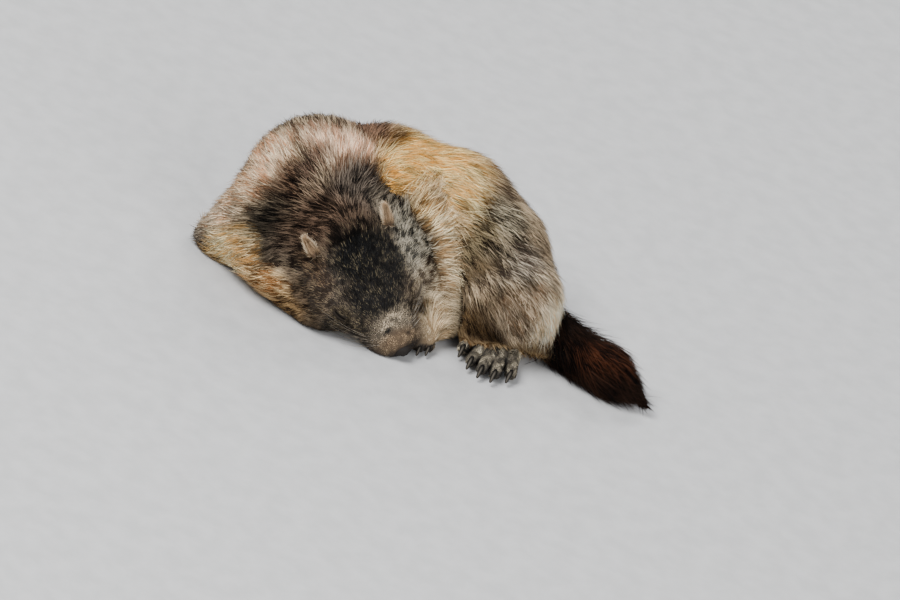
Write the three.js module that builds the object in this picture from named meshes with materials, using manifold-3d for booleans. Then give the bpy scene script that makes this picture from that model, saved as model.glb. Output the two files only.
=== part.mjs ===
// Alpine marmot asleep on its belly, life size, as a museum shows it.
// Millimetres, +Z up. The origin lies on the floor under the middle of the body, +X runs towards
// the tail and -Y towards the side that the crown of the head is turned to.
// The body is curled to its left: chest at -X, back along +Y, rump and left thigh at +X, and the
// head comes round in front of the flank, chin on the floor.
import * as THREE from "three";
import { mergeVertices } from "three/addons/utils/BufferGeometryUtils.js";
import Module from "manifold-3d";

const wasm = await Module();
wasm.setup();
const V = (x, y, z) => new THREE.Vector3(x, y, z);

// Driving dimensions.
const GAP = 0.35;                 // clearance between touching nodes
const PASSES = 24;                // rounds in which a corner finds its place outside all its faces
const FURTHEST = 3;               // how far a sharp corner may move to make way for the clearance
const CRUMB = 0.12;               // corners closer than this are one
const BODY_CELL = 16;             // size of facets on the trunk and thighs
const NECK_CELL = 14;             // size of facets on the neck and chest
const LIMB_CELL = 10.5;           // size of facets on the arms and tail
const FOOT_CELL = 6.5;            // size of facets on the feet
const JAW_CELL = 7;               // size of facets on the lower jaw
const EARS_MIDDLE = V(-36, -58.6, 68.2);   // point between the roots of the ears
const NOSE_WAY = V(0.746, -0.333, -0.576); // from there towards the nose
const LEFT_WAY = V(0.618, 0.667, 0.416);   // from there towards the left ear
const EAR_SPREAD = 30;            // half the distance between the ear roots
const EAR_LENGTH = 19;
const EAR_WIDTH = 11.5;
const EAR_ROLL = 0.25;            // turn of the ear's hollow outwards, radians
const EAR_RISE = -0.22;           // turn of its tip off the neck, radians
const EYE_AHEAD = 53;             // eye forward of the ears
const EYE_SPREAD = 32;            // half the distance between the eyes
const EYE_UP = -4;
const NOSE_AHEAD = 90;            // middle of the nose pad forward of the ears
const HEAD_BACK = -24;            // where the head ends, behind the ears
const HEAD_RIGHT = -57;           // where the ruff of the neck begins, outside the right cheek
const HEAD_FLOOR = -62;           // where the throat begins, under the head
const TAIL_ROOT = V(112, 15, 22); // where the tail leaves the rump
const TAIL_CUT = V(162, -5, 16);  // where the thick half of the tail ends
const CROWN = V(-42, -60, 80);    // place behind the brow that the coat strokes away from
const COAT_CORE = 7;              // how far the core lies under the tips of the long coat
const TAIL_CORE = 8;              // the same at the root of the tail, half of it at the tip
const ROOT_SINK = 3.5;            // how far the root of a lock lies under the core's surface
const LEAST_DEPTH = 1.8;          // coat shallower than this has no locks
const EAR_CLEAR = 19;             // no lock is rooted nearer than this to the root of an ear
const SEAM_CLEAR = 3;             // nor nearer than this to the flesh of the next part
// Locks of each stretch of coat: distance between roots, length, width and thickness.
const BODY_LOCK = { apart: 46, length: 62, width: 41, thick: 8 };
const RUFF_LOCK = { apart: 32, length: 46, width: 30, thick: 7 };
const CHEEK_LOCK = { apart: 30, length: 36, width: 28, thick: 6 };
const TAIL_LOCK = { apart: 21, length: 46, width: 19, thick: 7 };

// Head axes: x forward to the nose, y to the left ear, z up out of the crown.
const forward = NOSE_WAY.clone().normalize();
const left = LEFT_WAY.clone().addScaledVector(forward, -LEFT_WAY.dot(forward)).normalize();
const up = forward.clone().cross(left);
const headFrame = new THREE.Matrix4().makeBasis(forward, left, up).setPosition(EARS_MIDDLE);

// A shape is a function that gives the distance from a point to its surface, negative inside,
// with the box that holds it.
class Shape {
  constructor(at, box) {
    this.at = at;
    this.box = box;
  }

  in(frame) {
    const back = frame.clone().invert();
    const box = this.box.clone().applyMatrix4(frame);
    return new Shape((p) => this.at(p.clone().applyMatrix4(back)), box);
  }

  normal(p) {
    const step = 0.5;
    const slope = (axis) => this.at(p.clone().addScaledVector(axis, step))
      - this.at(p.clone().addScaledVector(axis, -step));
    return V(slope(V(1, 0, 0)), slope(V(0, 1, 0)), slope(V(0, 0, 1))).normalize();
  }
}

function ellipsoid(centre, radii) {
  const at = (p) => {
    const q = p.clone().sub(centre).divide(radii);
    const far = q.length() + 1e-6;
    return far * (far - 1) / (q.divide(radii).length() + 1e-9);
  };
  return new Shape(at, new THREE.Box3(centre.clone().sub(radii), centre.clone().add(radii)));
}

// A bar with round ends of two sizes.
function bar(a, ra, b, rb) {
  const along = b.clone().sub(a);
  const at = (p) => {
    const t = THREE.MathUtils.clamp(p.clone().sub(a).dot(along) / along.lengthSq(), 0, 1);
    return p.distanceTo(a.clone().addScaledVector(along, t)) - (ra + (rb - ra) * t);
  };
  const box = new THREE.Box3(a.clone().subScalar(ra), a.clone().addScalar(ra))
    .union(new THREE.Box3(b.clone().subScalar(rb), b.clone().addScalar(rb)));
  return new Shape(at, box);
}

// Flesh that runs over from one shape into the next within the distance reach.
function blend(reach, ...shapes) {
  const soften = (a, b) => {
    const h = Math.max(reach - Math.abs(a - b), 0) / reach;
    return Math.min(a, b) - h * h * reach / 4;
  };
  const box = shapes.reduce((sum, shape) => sum.union(shape.box), new THREE.Box3());
  return new Shape((p) => shapes.map((shape) => shape.at(p)).reduce(soften), box);
}

// The core of a shape, under its surface by a depth that may change from place to place.
function cored(shape, depth) {
  return new Shape((p) => shape.at(p) + depth(p), shape.box);
}

// The part of a shape that lies in a box.
function within(shape, box) {
  const half = box.getSize(V(0, 0, 0)).divideScalar(2);
  const middle = box.getCenter(V(0, 0, 0));
  const at = (p) => {
    const q = p.clone().sub(middle);
    const outside = Math.max(Math.abs(q.x) - half.x, Math.abs(q.y) - half.y, Math.abs(q.z) - half.z);
    return Math.max(shape.at(p), outside);
  };
  return new Shape(at, box.clone());
}

// Lattice lines along one axis, cell(x) apart at x.
function lines(low, high, cell) {
  const list = [low - 2 * cell(low)];
  while (list.length < 5 || list.at(-3) < high) list.push(list.at(-1) + cell(list.at(-1)));
  return list;
}

// Closed facets over a shape, one corner in each cell that its surface crosses. The cell is one size
// or three functions that give the size along each axis. The corners are then moved into frame.
function facets(shape, cell, grow = 0, frame = new THREE.Matrix4()) {
  const sizes = typeof cell === "number" ? [0, 1, 2].map(() => () => cell) : cell;
  const low = shape.box.min.toArray();
  const high = shape.box.max.toArray();
  const grid = sizes.map((size, axis) => lines(low[axis], high[axis], size));
  const [nx, ny, nz] = grid.map((list) => list.length);
  const index = (i, j, k) => (k * ny + j) * nx + i;
  const point = (i, j, k) => V(grid[0][i], grid[1][j], grid[2][k]);
  const value = new Float32Array(nx * ny * nz);
  for (let k = 0; k < nz; k += 1) {
    for (let j = 0; j < ny; j += 1) {
      for (let i = 0; i < nx; i += 1) value[index(i, j, k)] = shape.at(point(i, j, k));
    }
  }
  const corners = [];
  const cornerOf = new Map();
  const cornerIn = (i, j, k) => {
    const key = index(i, j, k);
    if (!cornerOf.has(key)) {
      const sum = V(0, 0, 0);
      let crossings = 0;
      for (let edge = 0; edge < 12; edge += 1) {
        const axis = edge >> 2;
        const from = [i, j, k];
        from[(axis + 1) % 3] += edge & 1;
        from[(axis + 2) % 3] += (edge >> 1) & 1;
        const to = [...from];
        to[axis] += 1;
        const a = value[index(...from)];
        const b = value[index(...to)];
        if ((a < 0) !== (b < 0)) {
          sum.add(point(...from).lerp(point(...to), a / (a - b)));
          crossings += 1;
        }
      }
      const p = sum.divideScalar(crossings);
      const slip = Math.min(...sizes.map((size, axis) => size(p.getComponent(axis)))) / 3;
      p.addScaledVector(shape.normal(p), -THREE.MathUtils.clamp(shape.at(p), -slip, slip));
      cornerOf.set(key, corners.length);
      corners.push(p.applyMatrix4(frame));
    }
    return cornerOf.get(key);
  };
  const triangles = [];
  for (let k = 1; k < nz - 1; k += 1) {
    for (let j = 1; j < ny - 1; j += 1) {
      for (let i = 1; i < nx - 1; i += 1) {
        for (let axis = 0; axis < 3; axis += 1) {
          const to = [i, j, k];
          to[axis] += 1;
          const inside = value[index(i, j, k)] < 0;
          if (inside !== (value[index(...to)] < 0)) {
            const ring = [[0, 0], [1, 0], [1, 1], [0, 1]].map(([s, t]) => {
              const at = [i, j, k];
              at[(axis + 1) % 3] -= s;
              at[(axis + 2) % 3] -= t;
              return cornerIn(...at);
            });
            const quad = inside ? ring : ring.reverse();
            const [a, b, c, d] = quad.map((n) => corners[n]);
            const split = a.distanceTo(c) < b.distanceTo(d) ? [0, 1, 2, 0, 2, 3] : [1, 2, 3, 1, 3, 0];
            triangles.push(...split.map((n) => quad[n]));
          }
        }
      }
    }
  }
  return swollen(corners, triangles, grow);
}

// A solid from its corners, each moved so that every face round it lies further out by grow.
function swollen(corners, triangles, grow) {
  if (grow === 0) return solidOf(corners.flatMap((p) => p.toArray()), triangles);
  const around = corners.map(() => []);
  for (let n = 0; n < triangles.length; n += 3) {
    const face = new THREE.Triangle(...[0, 1, 2].map((k) => corners[triangles[n + k]]));
    const normal = face.getNormal(V(0, 0, 0));
    [0, 1, 2].forEach((k) => around[triangles[n + k]].push(normal));
  }
  const moved = corners.map((p, n) => {
    const step = V(0, 0, 0);
    for (let pass = 0; pass < PASSES; pass += 1) {
      around[n].forEach((normal) => step.addScaledVector(normal, Math.max(grow - step.dot(normal), 0)));
    }
    return p.clone().add(step.clampLength(0, FURTHEST));
  });
  return solidOf(moved.flatMap((p) => p.toArray()), triangles);
}

function solidOf(positions, triangles) {
  return new wasm.Manifold(new wasm.Mesh({
    numProp: 3,
    vertProperties: Float32Array.from(positions),
    triVerts: Uint32Array.from(triangles),
  }));
}

// A closed three.js geometry as a solid, after moving each corner and then pushing it out by grow.
function solidFrom(geometry, move = (p) => p, grow = 0) {
  geometry.deleteAttribute("normal");
  geometry.deleteAttribute("uv");
  const merged = mergeVertices(geometry, 1e-3);
  const place = merged.getAttribute("position");
  const corner = (_, n) => move(V(0, 0, 0).fromBufferAttribute(place, n));
  const corners = Array.from({ length: place.count }, corner);
  return swollen(corners, [...merged.index.array], grow);
}

// All space on the side of a plane that its normal points to, within the reach of the part.
function halfSpace(point, normal, shift = 0) {
  const size = 900;
  const turn = new THREE.Quaternion().setFromUnitVectors(V(0, 0, 1), normal.clone().normalize());
  return solidFrom(new THREE.BoxGeometry(size, size, size), (p) => (
    p.add(V(0, 0, size / 2 + shift)).applyQuaternion(turn).add(point)));
}

// The corners of a solid, and the three of each face.
function meshOf(solid) {
  const { vertProperties, triVerts } = solid.getMesh();
  const threes = (list) => (
    Array.from({ length: list.length / 3 }, (_, n) => [...list.slice(3 * n, 3 * n + 3)]));
  return { corners: threes(vertProperties).map((place) => V(...place)), faces: threes(triVerts) };
}

// The same solid without the slivers that a cut leaves: an edge shorter than CRUMB shrinks to a
// corner, where the surface stays a plain surface afterwards.
function tidied(solid) {
  const { corners, faces } = meshOf(solid);
  const around = corners.map(() => new Set());
  faces.forEach((face, n) => face.forEach((corner) => around[corner].add(n)));
  const neighbours = (corner) => new Set([...around[corner]].flatMap((n) => faces[n]));
  for (let n = 0; n < faces.length; n += 1) {
    for (let k = 0; faces[n] && k < 3; k += 1) {
      const keep = faces[n][k];
      const drop = faces[n][(k + 1) % 3];
      if (corners[keep].distanceTo(corners[drop]) < CRUMB) {
        const near = neighbours(keep);
        const shared = [...neighbours(drop)].filter((corner) => near.has(corner));
        if (shared.length === 4) {
          for (const m of around[drop]) {
            if (faces[m].includes(keep)) {
              faces[m].forEach((corner) => corner !== drop && around[corner].delete(m));
              faces[m] = null;
            } else {
              faces[m] = faces[m].map((corner) => (corner === drop ? keep : corner));
              around[keep].add(m);
            }
          }
          around[drop].clear();
        }
      }
    }
  }
  return solidOf(corners.flatMap((p) => p.toArray()), faces.filter(Boolean).flat());
}

function seeded(seed) {
  let state = seed;
  return () => {
    state = (state * 1664525 + 1013904223) % 4294967296;
    return state / 4294967296;
  };
}

function largest(solid) {
  const pieces = solid.decompose();
  return pieces.reduce((best, piece) => (piece.volume() > best.volume() ? piece : best));
}

// Masses of the body, at the tips of the coat.
const skull = [
  ellipsoid(V(6, 0, -24), V(44, 37, 35)),
  ellipsoid(V(46, 0, -15), V(30, 35, 23)),
  bar(V(56, 0, -18), 19, V(80, 0, -17), 14),
  ellipsoid(V(77, 8.5, -22), V(14, 11, 12)),
  ellipsoid(V(77, -8.5, -22), V(14, 11, 12)),
  ellipsoid(V(24, 26, -26), V(32, 24, 26)),
  ellipsoid(V(24, -26, -26), V(32, 24, 26)),
  bar(V(20, 0, -42), 16, V(56, 0, -36), 10),
];
const ruff = [
  ellipsoid(V(2, 34, -32), V(34, 28, 32)),
  ellipsoid(V(2, -34, -32), V(34, 28, 30)),
  ellipsoid(V(26, 36, -22), V(32, 22, 26)),
  ellipsoid(V(22, -36, -24), V(28, 17, 22)),
];
const jaw = bar(V(26, 0, -43), 14, V(72, 0, -33), 8.5);
const neck = bar(V(-47, -40, 54), 40, V(-74, -8, 64), 50);
const throat = ellipsoid(V(-62, -52, 30), V(52, 34, 32));
const withers = ellipsoid(V(-70, 0, 62), V(56, 60, 56));
const shoulder = [
  ellipsoid(V(-98, -22, 34), V(36, 40, 38)),
  ellipsoid(V(-110, -25, 21), V(28, 32, 25)),
  ellipsoid(V(-122, -26, 9), V(24, 24, 14)),
];
const collar = [
  bar(V(3, -3, 84), 22, V(26, -9, 56), 21),
  bar(V(26, -9, 56), 21, V(42, -17, 31), 20),
  bar(V(42, -17, 31), 20, V(47, -30, 16), 15),
];
const back = ellipsoid(V(-25, 30, 60), V(56, 56, 58));
const flank = ellipsoid(V(25, 33, 60), V(54, 56, 58));
const belly = ellipsoid(V(0, 18, 28), V(106, 60, 38));
const croup = ellipsoid(V(62, 22, 52), V(50, 50, 50));
const leftHaunch = [
  ellipsoid(V(92, -5, 42), V(40, 38, 40)),
  bar(V(84, -14, 34), 28, V(76, -24, 18), 20),
  bar(V(96, -8, 26), 26, V(120, -8, 20), 17),
];
const rightHaunch = [ellipsoid(V(72, 48, 38), V(36, 38, 38)), bar(V(66, 52, 28), 26, V(58, 62, 20), 20)];
const leftArm = [bar(V(22, 2, 40), 24, V(40, -6, 20), 15), bar(V(40, -6, 18), 14, V(40, -42, 11), 11)];
const rightArm = [
  bar(V(-92, -28, 40), 26, V(-70, -42, 20), 18),
  bar(V(-70, -42, 18), 16, V(-48, -54, 11), 11),
];
const tail = [
  bar(V(98, 23, 28), 19.5, V(134, 4, 19.5), 19),
  bar(V(134, 4, 19.5), 19, V(173, -7, 17), 17.5),
  bar(V(173, -7, 17), 17.5, V(203, -16, 13), 13),
  bar(V(203, -16, 13), 13, V(214, -24, 8), 6),
];

const skullInPlace = [...skull, ...ruff].map((mass) => mass.in(headFrame));
const frontMasses = [neck, throat, withers, ...collar, ...shoulder];
const frontShape = blend(16, ...skullInPlace, ...frontMasses);
const chestShape = blend(16, ...skullInPlace, ...frontMasses, back, flank, belly);
const trunkShape = blend(16, withers, back, flank, belly, croup);
const hipShape = blend(14, flank, belly, croup, ...leftHaunch, ...rightHaunch);
const leftArmShape = blend(10, ...leftArm);
const rightArmShape = blend(10, ...rightArm);
const tailShape = blend(6, ...tail);

// The front of the head in its own axes, where the facets are finer towards the nose.
const headMasses = frontMasses.map((mass) => mass.in(headFrame.clone().invert()));
const headShape = within(blend(16, blend(10, ...skull), ...ruff, ...headMasses),
  new THREE.Box3(V(HEAD_BACK - 12, -100, HEAD_FLOOR - 12), V(110, 100, 40)));
const headCell = [
  (x) => THREE.MathUtils.mapLinear(THREE.MathUtils.clamp(x, 0, 60), 0, 60, 10.5, 5.6),
  (y) => THREE.MathUtils.mapLinear(Math.min(Math.abs(y), 40), 0, 40, 5.6, 9),
  (z) => THREE.MathUtils.mapLinear(Math.min(Math.abs(z + 16), 40), 0, 40, 5.6, 9),
];

// Feet in their own axes: x towards the toes, y to the animal's left, z up, origin under the heel.
const HIND_FOOT = { length: 80, width: 52, toes: 5, setback: [16, 5, 0, 2, 11], toe: 6, ankle: 11 };
const FORE_FOOT = { length: 30, width: 27, toes: 4, setback: [6, 1, 0, 5], toe: 4.6, ankle: 9 };

function toePlaces(foot, mirror) {
  return foot.setback.map((back, n) => {
    const across = (n / (foot.toes - 1) - 0.5) * mirror;
    const tip = V(foot.length - back - foot.toe, across * (foot.width - 2 * foot.toe), foot.toe + 0.8);
    const root = V(tip.x * 0.55, tip.y * 0.62, foot.ankle * 0.85);
    return { tip, root };
  });
}

function footShape(foot, mirror) {
  const toes = toePlaces(foot, mirror).map(({ tip, root }) => bar(root, foot.toe + 1.5, tip, foot.toe));
  const high = foot.ankle * 0.9;
  const sole = bar(V(2, 0, high), foot.ankle, V(foot.length * 0.55, 0, high), foot.ankle * 1.1);
  return blend(3.5, sole, ...toes);
}

function footFrame(heel, towards) {
  const ahead = towards.clone().normalize();
  return new THREE.Matrix4().makeBasis(ahead, V(0, 0, 1).cross(ahead), V(0, 0, 1)).setPosition(heel);
}

const feet = {
  left_hind: { foot: HIND_FOOT, mirror: 1, frame: footFrame(V(98, 16, 0), V(-0.1, -1, 0)) },
  right_hind: { foot: HIND_FOOT, mirror: -1, frame: footFrame(V(106, 50, 0), V(-0.75, 0.66, 0)) },
  left_fore: { foot: FORE_FOOT, mirror: 1, frame: footFrame(V(41, -36, 0), V(-0.05, -1, 0)) },
  right_fore: { foot: FORE_FOOT, mirror: -1, frame: footFrame(V(-52, -53, 0), V(0.6, -0.8, 0)) },
};

// A claw: a bent, flattened cone that comes out of the top of the toe and curves down to the floor.
function claw(foot, tip, frame, grow) {
  const length = foot.toe * 2.1;
  const thick = foot.toe * 0.36;
  return solidFrom(new THREE.ConeGeometry(1, 1, 4, 2), (p) => {
    const t = p.y + 0.5;
    const taper = thick * (1 - t) ** -0.3;
    const round = t < 1 ? taper : 0;
    const ahead = tip.x + foot.toe * 0.2 + length * t;
    const high = tip.z + foot.toe * 0.35 - length * 0.42 * t * t;
    return V(ahead, tip.y - p.x * round * 0.8, high + p.z * round).applyMatrix4(frame);
  }, grow);
}

// The place on the head nearest to a point in the head's axes, with axes of its own: x along way,
// z out of the skin. It is raised off the skin by rise.
function seat(point, way, rise) {
  const place = point.clone();
  for (let n = 0; n < 8; n += 1) place.addScaledVector(headShape.normal(place), -headShape.at(place));
  const out = headShape.normal(place);
  const side = out.clone().cross(way).normalize();
  const frame = new THREE.Matrix4().makeBasis(side.clone().cross(out), side, out);
  return headFrame.clone().multiply(frame.setPosition(place.addScaledVector(out, rise)));
}

// An ear: a short round leaf, hollow on its upper side, with a thick rim, laid back on the neck.
function ear(side, grow) {
  const lie = new THREE.Matrix4().makeRotationFromEuler(new THREE.Euler(side * -EAR_ROLL, EAR_RISE, 0));
  const frame = seat(V(0, side * EAR_SPREAD, 0), V(-1, side * 0.12, 0), 1.5).multiply(lie);
  const leaf = (radii, middle, extra) => solidFrom(new THREE.SphereGeometry(1, 10, 6), (p) => (
    V(p.x, p.z, -p.y).multiply(radii).add(middle).applyMatrix4(frame)), extra);
  const shell = leaf(V(EAR_LENGTH / 2, EAR_WIDTH / 2, 3.6), V(EAR_LENGTH / 2 - 3, 0, 0), grow);
  if (grow > 0) return shell;
  const cup = V(EAR_LENGTH / 2 - 2, EAR_WIDTH / 2 - 1.5, 3.6);
  return shell.subtract(leaf(cup, V(EAR_LENGTH / 2 - 2.4, 0, 2.4), 0));
}

// A shut eye: the two lids as one low dome, with the slit between them.
function eye(side, grow) {
  const frame = seat(V(EYE_AHEAD, side * EYE_SPREAD, EYE_UP), V(1, 0, -0.35), -1.6);
  const ball = solidFrom(new THREE.SphereGeometry(1, 10, 6), (p) => (
    p.multiply(V(8, 6, 4.2)).applyMatrix4(frame)), grow);
  if (grow > 0) return ball;
  const slit = solidFrom(new THREE.BoxGeometry(13, 0.7, 2.6, 5, 1, 1), (p) => (
    V(p.x, p.y - side * (1.6 - p.x * p.x * 0.04), p.z + 4.2).applyMatrix4(frame)));
  return ball.subtract(slit);
}

// The nose pad with its two nostrils.
function nose(grow) {
  const centre = V(NOSE_AHEAD, 0, -12);
  const pad = solidFrom(new THREE.SphereGeometry(1, 10, 8), (p) => (
    p.multiply(V(5.5, 7.5, 5.5)).add(centre).applyMatrix4(headFrame)), grow);
  if (grow > 0) return pad;
  const nostrils = [-1, 1].map((side) => solidFrom(new THREE.ConeGeometry(1.7, 7, 7), (p) => (
    V(p.y * 1.1 + 4.5, side * 3.2 - p.x * 0.8, p.z * 1.3 - 0.6).add(centre).applyMatrix4(headFrame))));
  return pad.subtract(nostrils[0]).subtract(nostrils[1]);
}

const colours = {
  crown: 0x4b4541, muzzle: 0xa39582, nose: 0x2e2521, ear: 0xb6a184, lid: 0x4a423c, coat: 0x9a8468,
  band: 0xb59a74, haunch: 0x8f8577, foot: 0xc8bca4, claw: 0x3a3531, tail: 0x4e3d32, arm: 0xb7a488,
};
const materialOf = (name, color) => new THREE.MeshStandardMaterial(
  { name, color, roughness: name === "claw" ? 0.45 : 0.9, metalness: 0 });
const material = Object.fromEntries(
  Object.entries(colours).map(([name, color]) => [name, materialOf(name, color)]));

const group = new THREE.Group();
const floor = halfSpace(V(0, 0, 0), V(0, 0, 1));
const cutters = [];

// Adds one node: its solid, cut clear of every node already placed and of the floor.
function add(name, look, build) {
  let solid = build(0).intersect(floor);
  const reach = solid.boundingBox();
  for (const cutter of cutters) {
    const { min, max } = cutter.box;
    const near = min.every((low, n) => low < reach.max[n] && max[n] > reach.min[n]);
    if (near) solid = solid.subtract(cutter.solid);
  }
  solid = largest(tidied(solid));
  const grown = build(GAP);
  cutters.push({ solid: grown, box: grown.boundingBox() });
  const { vertProperties, triVerts } = solid.getMesh();
  const geometry = new THREE.BufferGeometry();
  geometry.setAttribute("position", new THREE.BufferAttribute(vertProperties, 3));
  geometry.setIndex(new THREE.BufferAttribute(triVerts, 1));
  geometry.computeVertexNormals();
  const mesh = new THREE.Mesh(geometry, material[look]);
  mesh.name = name;
  group.add(mesh);
}

function addFoot(name) {
  const { foot, mirror, frame } = feet[name];
  toePlaces(foot, mirror).forEach(({ tip }, n) => {
    add(`${name}_claw_${n + 1}`, "claw", (grow) => claw(foot, tip, frame, grow));
  });
  add(`${name}_foot`, "foot", (grow) => facets(footShape(foot, mirror), FOOT_CELL, grow, frame));
}

const random = seeded(17);
const DRAWS = 4000;               // places tried for the roots of one node

// The way that the coat strokes at a place: outwards from the crown over the neck and chest, along
// the body to the tail behind them, and down over the haunches.
function lie(p) {
  const fromCrown = p.clone().sub(CROWN).normalize();
  const alongBody = V(1, -0.12, -0.25 - 0.9 * THREE.MathUtils.smoothstep(p.x, 30, 120)).normalize();
  return fromCrown.lerp(alongBody, THREE.MathUtils.smoothstep(p.x, -75, 5)).normalize();
}

const tailLie = (p) => V(0.92, -0.32, -0.1 - 0.006 * (p.z - 16)).normalize();

// Roots spread over the core of a shape, each at least apart from the others, where wanted says so.
function roots(solid, apart, wanted) {
  const { corners, faces } = meshOf(solid);
  const triangles = faces.map((face) => new THREE.Triangle(...face.map((n) => corners[n])));
  const areas = triangles.map((triangle) => triangle.getArea());
  const whole = areas.reduce((sum, area) => sum + area);
  const kept = [];
  for (let draw = 0; draw < DRAWS; draw += 1) {
    let rest = random() * whole;
    const { a, b, c } = triangles[areas.findIndex((area) => (rest -= area) <= 0)] ?? triangles[0];
    const u = Math.sqrt(random());
    const v = random();
    const p = a.clone().lerp(b.clone().lerp(c, v), u);
    const out = new THREE.Triangle(a, b, c).getNormal(V(0, 0, 0));
    if (wanted(p, out) && kept.every((q) => q.distanceTo(p) > apart)) kept.push(p);
  }
  return kept;
}

// One lock: a flat tapered tongue of coat. Its root is sunk in the core, its length follows the
// coat's lie over the body, and its tip comes out to the outline.
function lock(shape, root, way, { length, width, thick }, depth, vary) {
  const skin = shape.normal(root);
  const turned = way(root).applyAxisAngle(skin, vary.turn);
  const stroke = turned.addScaledVector(skin, -turned.dot(skin)).normalize();
  const rings = [0, 1, 2, 3].map((n) => {
    const place = root.clone().addScaledVector(stroke, length * vary.length * n / 3);
    const level = [-depth - ROOT_SINK, -depth * 0.45, -0.8, vary.rise][n];
    for (let k = 0; k < 3; k += 1) place.addScaledVector(shape.normal(place), level - shape.at(place));
    return { place, out: shape.normal(place) };
  });
  const ahead = rings[3].place.clone().sub(rings[0].place).normalize();
  return (grow) => solidFrom(new THREE.ConeGeometry(1, 1, 4, 3), (p) => {
    const n = Math.round((p.y + 0.5) * 3);
    const { place, out } = rings[n];
    const side = ahead.clone().cross(out).normalize().applyAxisAngle(ahead, vary.roll);
    const open = n < 3 ? [0.75, 1, 0.78][n] / (1 - n / 3) : 0;
    const bend = vary.bend * (n / 3) ** 2;
    return place.clone().addScaledVector(side, p.x * open * width / 2 + bend)
      .addScaledVector(out, p.z * open * thick / 2);
  }, grow);
}

// A core with its coat of locks.
function coated(shape, depth, core, style, way, wanted) {
  const onSkin = (p) => Math.abs(shape.at(p) + depth(p)) < 2;
  const made = roots(core(0), style.apart, (p, out) => wanted(p, out) && onSkin(p)).map((root) => {
    const vary = {
      length: 0.85 + 0.3 * random(),
      rise: 1.5 * random(),
      roll: 0.3 * random() - 0.15,
      bend: 6 * random() - 3,
      turn: 0.5 * random() - 0.25,
    };
    return lock(shape, root, way, style, depth(root), vary);
  });
  return (grow) => made.reduce((solid, one) => solid.add(one(grow)), core(grow));
}

// The planes that part the trunk, each with its normal and a point on it.
const plane = (point, normal) => ({ point, normal: normal.normalize() });
const nape = plane(V(-70, -14, 64), V(0.55, -0.8, -0.2));
const shoulders = plane(V(-40, 30, 0), V(1, 0, 0));
const hips = plane(V(42, 30, 0), V(1, 0, 0));
const leftHip = plane(V(88, 2, 50), V(0.25, -0.95, 0.2));
const rightHip = plane(V(70, 48, 40), V(-0.1, 1, -0.1));
const tailRoot = plane(TAIL_ROOT, V(0.92, -0.36, 0));
const tailHalf = plane(TAIL_CUT, V(0.92, -0.36, 0));
const headBack = plane(EARS_MIDDLE.clone().addScaledVector(forward, HEAD_BACK), forward.clone());
const headRight = plane(EARS_MIDDLE.clone().addScaledVector(left, HEAD_RIGHT), left.clone());
const headFloor = plane(EARS_MIDDLE.clone().addScaledVector(up, HEAD_FLOOR), up.clone());
const onward = ({ point, normal }, grow) => halfSpace(point, normal, GAP / 2 - grow);
const before = ({ point, normal }, grow) => halfSpace(point, normal.clone().negate(), GAP / 2 - grow);

const toHead = headFrame.clone().invert();

// Depth of the core under the tips: nothing over the face and crown, more on the sides of the neck.
const headDepth = (p) => {
  const bare = 25 * (1 - THREE.MathUtils.smoothstep(Math.abs(p.y), 10, 32));
  return COAT_CORE * Math.max(THREE.MathUtils.smoothstep(-p.x, bare - 16, bare + 22),
    THREE.MathUtils.smoothstep(Math.abs(p.y), 44, 60));
};
const frontDepth = (p) => headDepth(p.clone().applyMatrix4(toHead));
const evenDepth = () => COAT_CORE;
const tailDepth = (p) => TAIL_CORE * (1 - 0.5 * THREE.MathUtils.smoothstep(p.x, 130, 215));

// Where locks grow.
const upward = (p, out) => out.z > -0.35 && p.z > 8;
const earRoots = [-1, 1].map((side) => EARS_MIDDLE.clone().addScaledVector(left, side * EAR_SPREAD));
const cheeks = (p, out) => upward(p, out) && frontDepth(p) > LEAST_DEPTH
  && earRoots.every((root) => root.distanceTo(p) > EAR_CLEAR) && trunkShape.at(p) > SEAM_CLEAR;
const clearOfFront = (p, out) => upward(p, out) && frontShape.at(p) > SEAM_CLEAR;
const anywhere = () => true;

// The way that the fur of the cheeks strokes: back and outwards.
function cheekLie(p) {
  const q = p.clone().applyMatrix4(toHead);
  const side = Math.sign(q.y) * THREE.MathUtils.smoothstep(Math.abs(q.y), 5, 45);
  return forward.clone().negate().addScaledVector(left, 0.5 * side).addScaledVector(up, -0.2);
}

// The part of a shape's core on the named sides of the planes.
const piece = (shape, depth, cell, ...sides) => (grow) => sides.reduce(
  (solid, side) => solid.intersect(side(grow)), facets(cored(shape, depth), cell, grow));
const past = (cut) => (grow) => onward(cut, grow);
const short = (cut) => (grow) => before(cut, grow);

const headRegion = (grow) => [headBack, headFloor, headRight].reduce(
  (solid, cut) => solid.intersect(onward(cut, grow)), halfSpace(V(0, 0, 0), V(0, 0, 1)));
const headCore = (grow) => facets(cored(headShape, headDepth), headCell, grow, headFrame)
  .intersect(headRegion(grow));
const neckRegion = (grow) => onward(nape, grow).subtract(headRegion(GAP - grow));
const leftThigh = piece(hipShape, evenDepth, BODY_CELL, past(hips), past(leftHip));
const rightThigh = piece(hipShape, evenDepth, BODY_CELL, past(hips), past(rightHip));
const rump = piece(hipShape, evenDepth, BODY_CELL, past(hips), short(leftHip), short(rightHip));
const chest = piece(chestShape, evenDepth, NECK_CELL, short(shoulders), short(nape));
const loin = piece(trunkShape, evenDepth, BODY_CELL, past(shoulders), short(hips));
const tailTip = piece(tailShape, tailDepth, LIMB_CELL, past(tailHalf));
const tailBase = piece(tailShape, tailDepth, LIMB_CELL, short(tailHalf), past(tailRoot));
const neckCore = piece(frontShape, frontDepth, NECK_CELL, neckRegion);
const bodyCoat = (shape, core, wanted = upward) => coated(shape, evenDepth, core, BODY_LOCK, lie, wanted);
const tailCoat = (core) => coated(tailShape, tailDepth, core, TAIL_LOCK, tailLie, anywhere);

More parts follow.
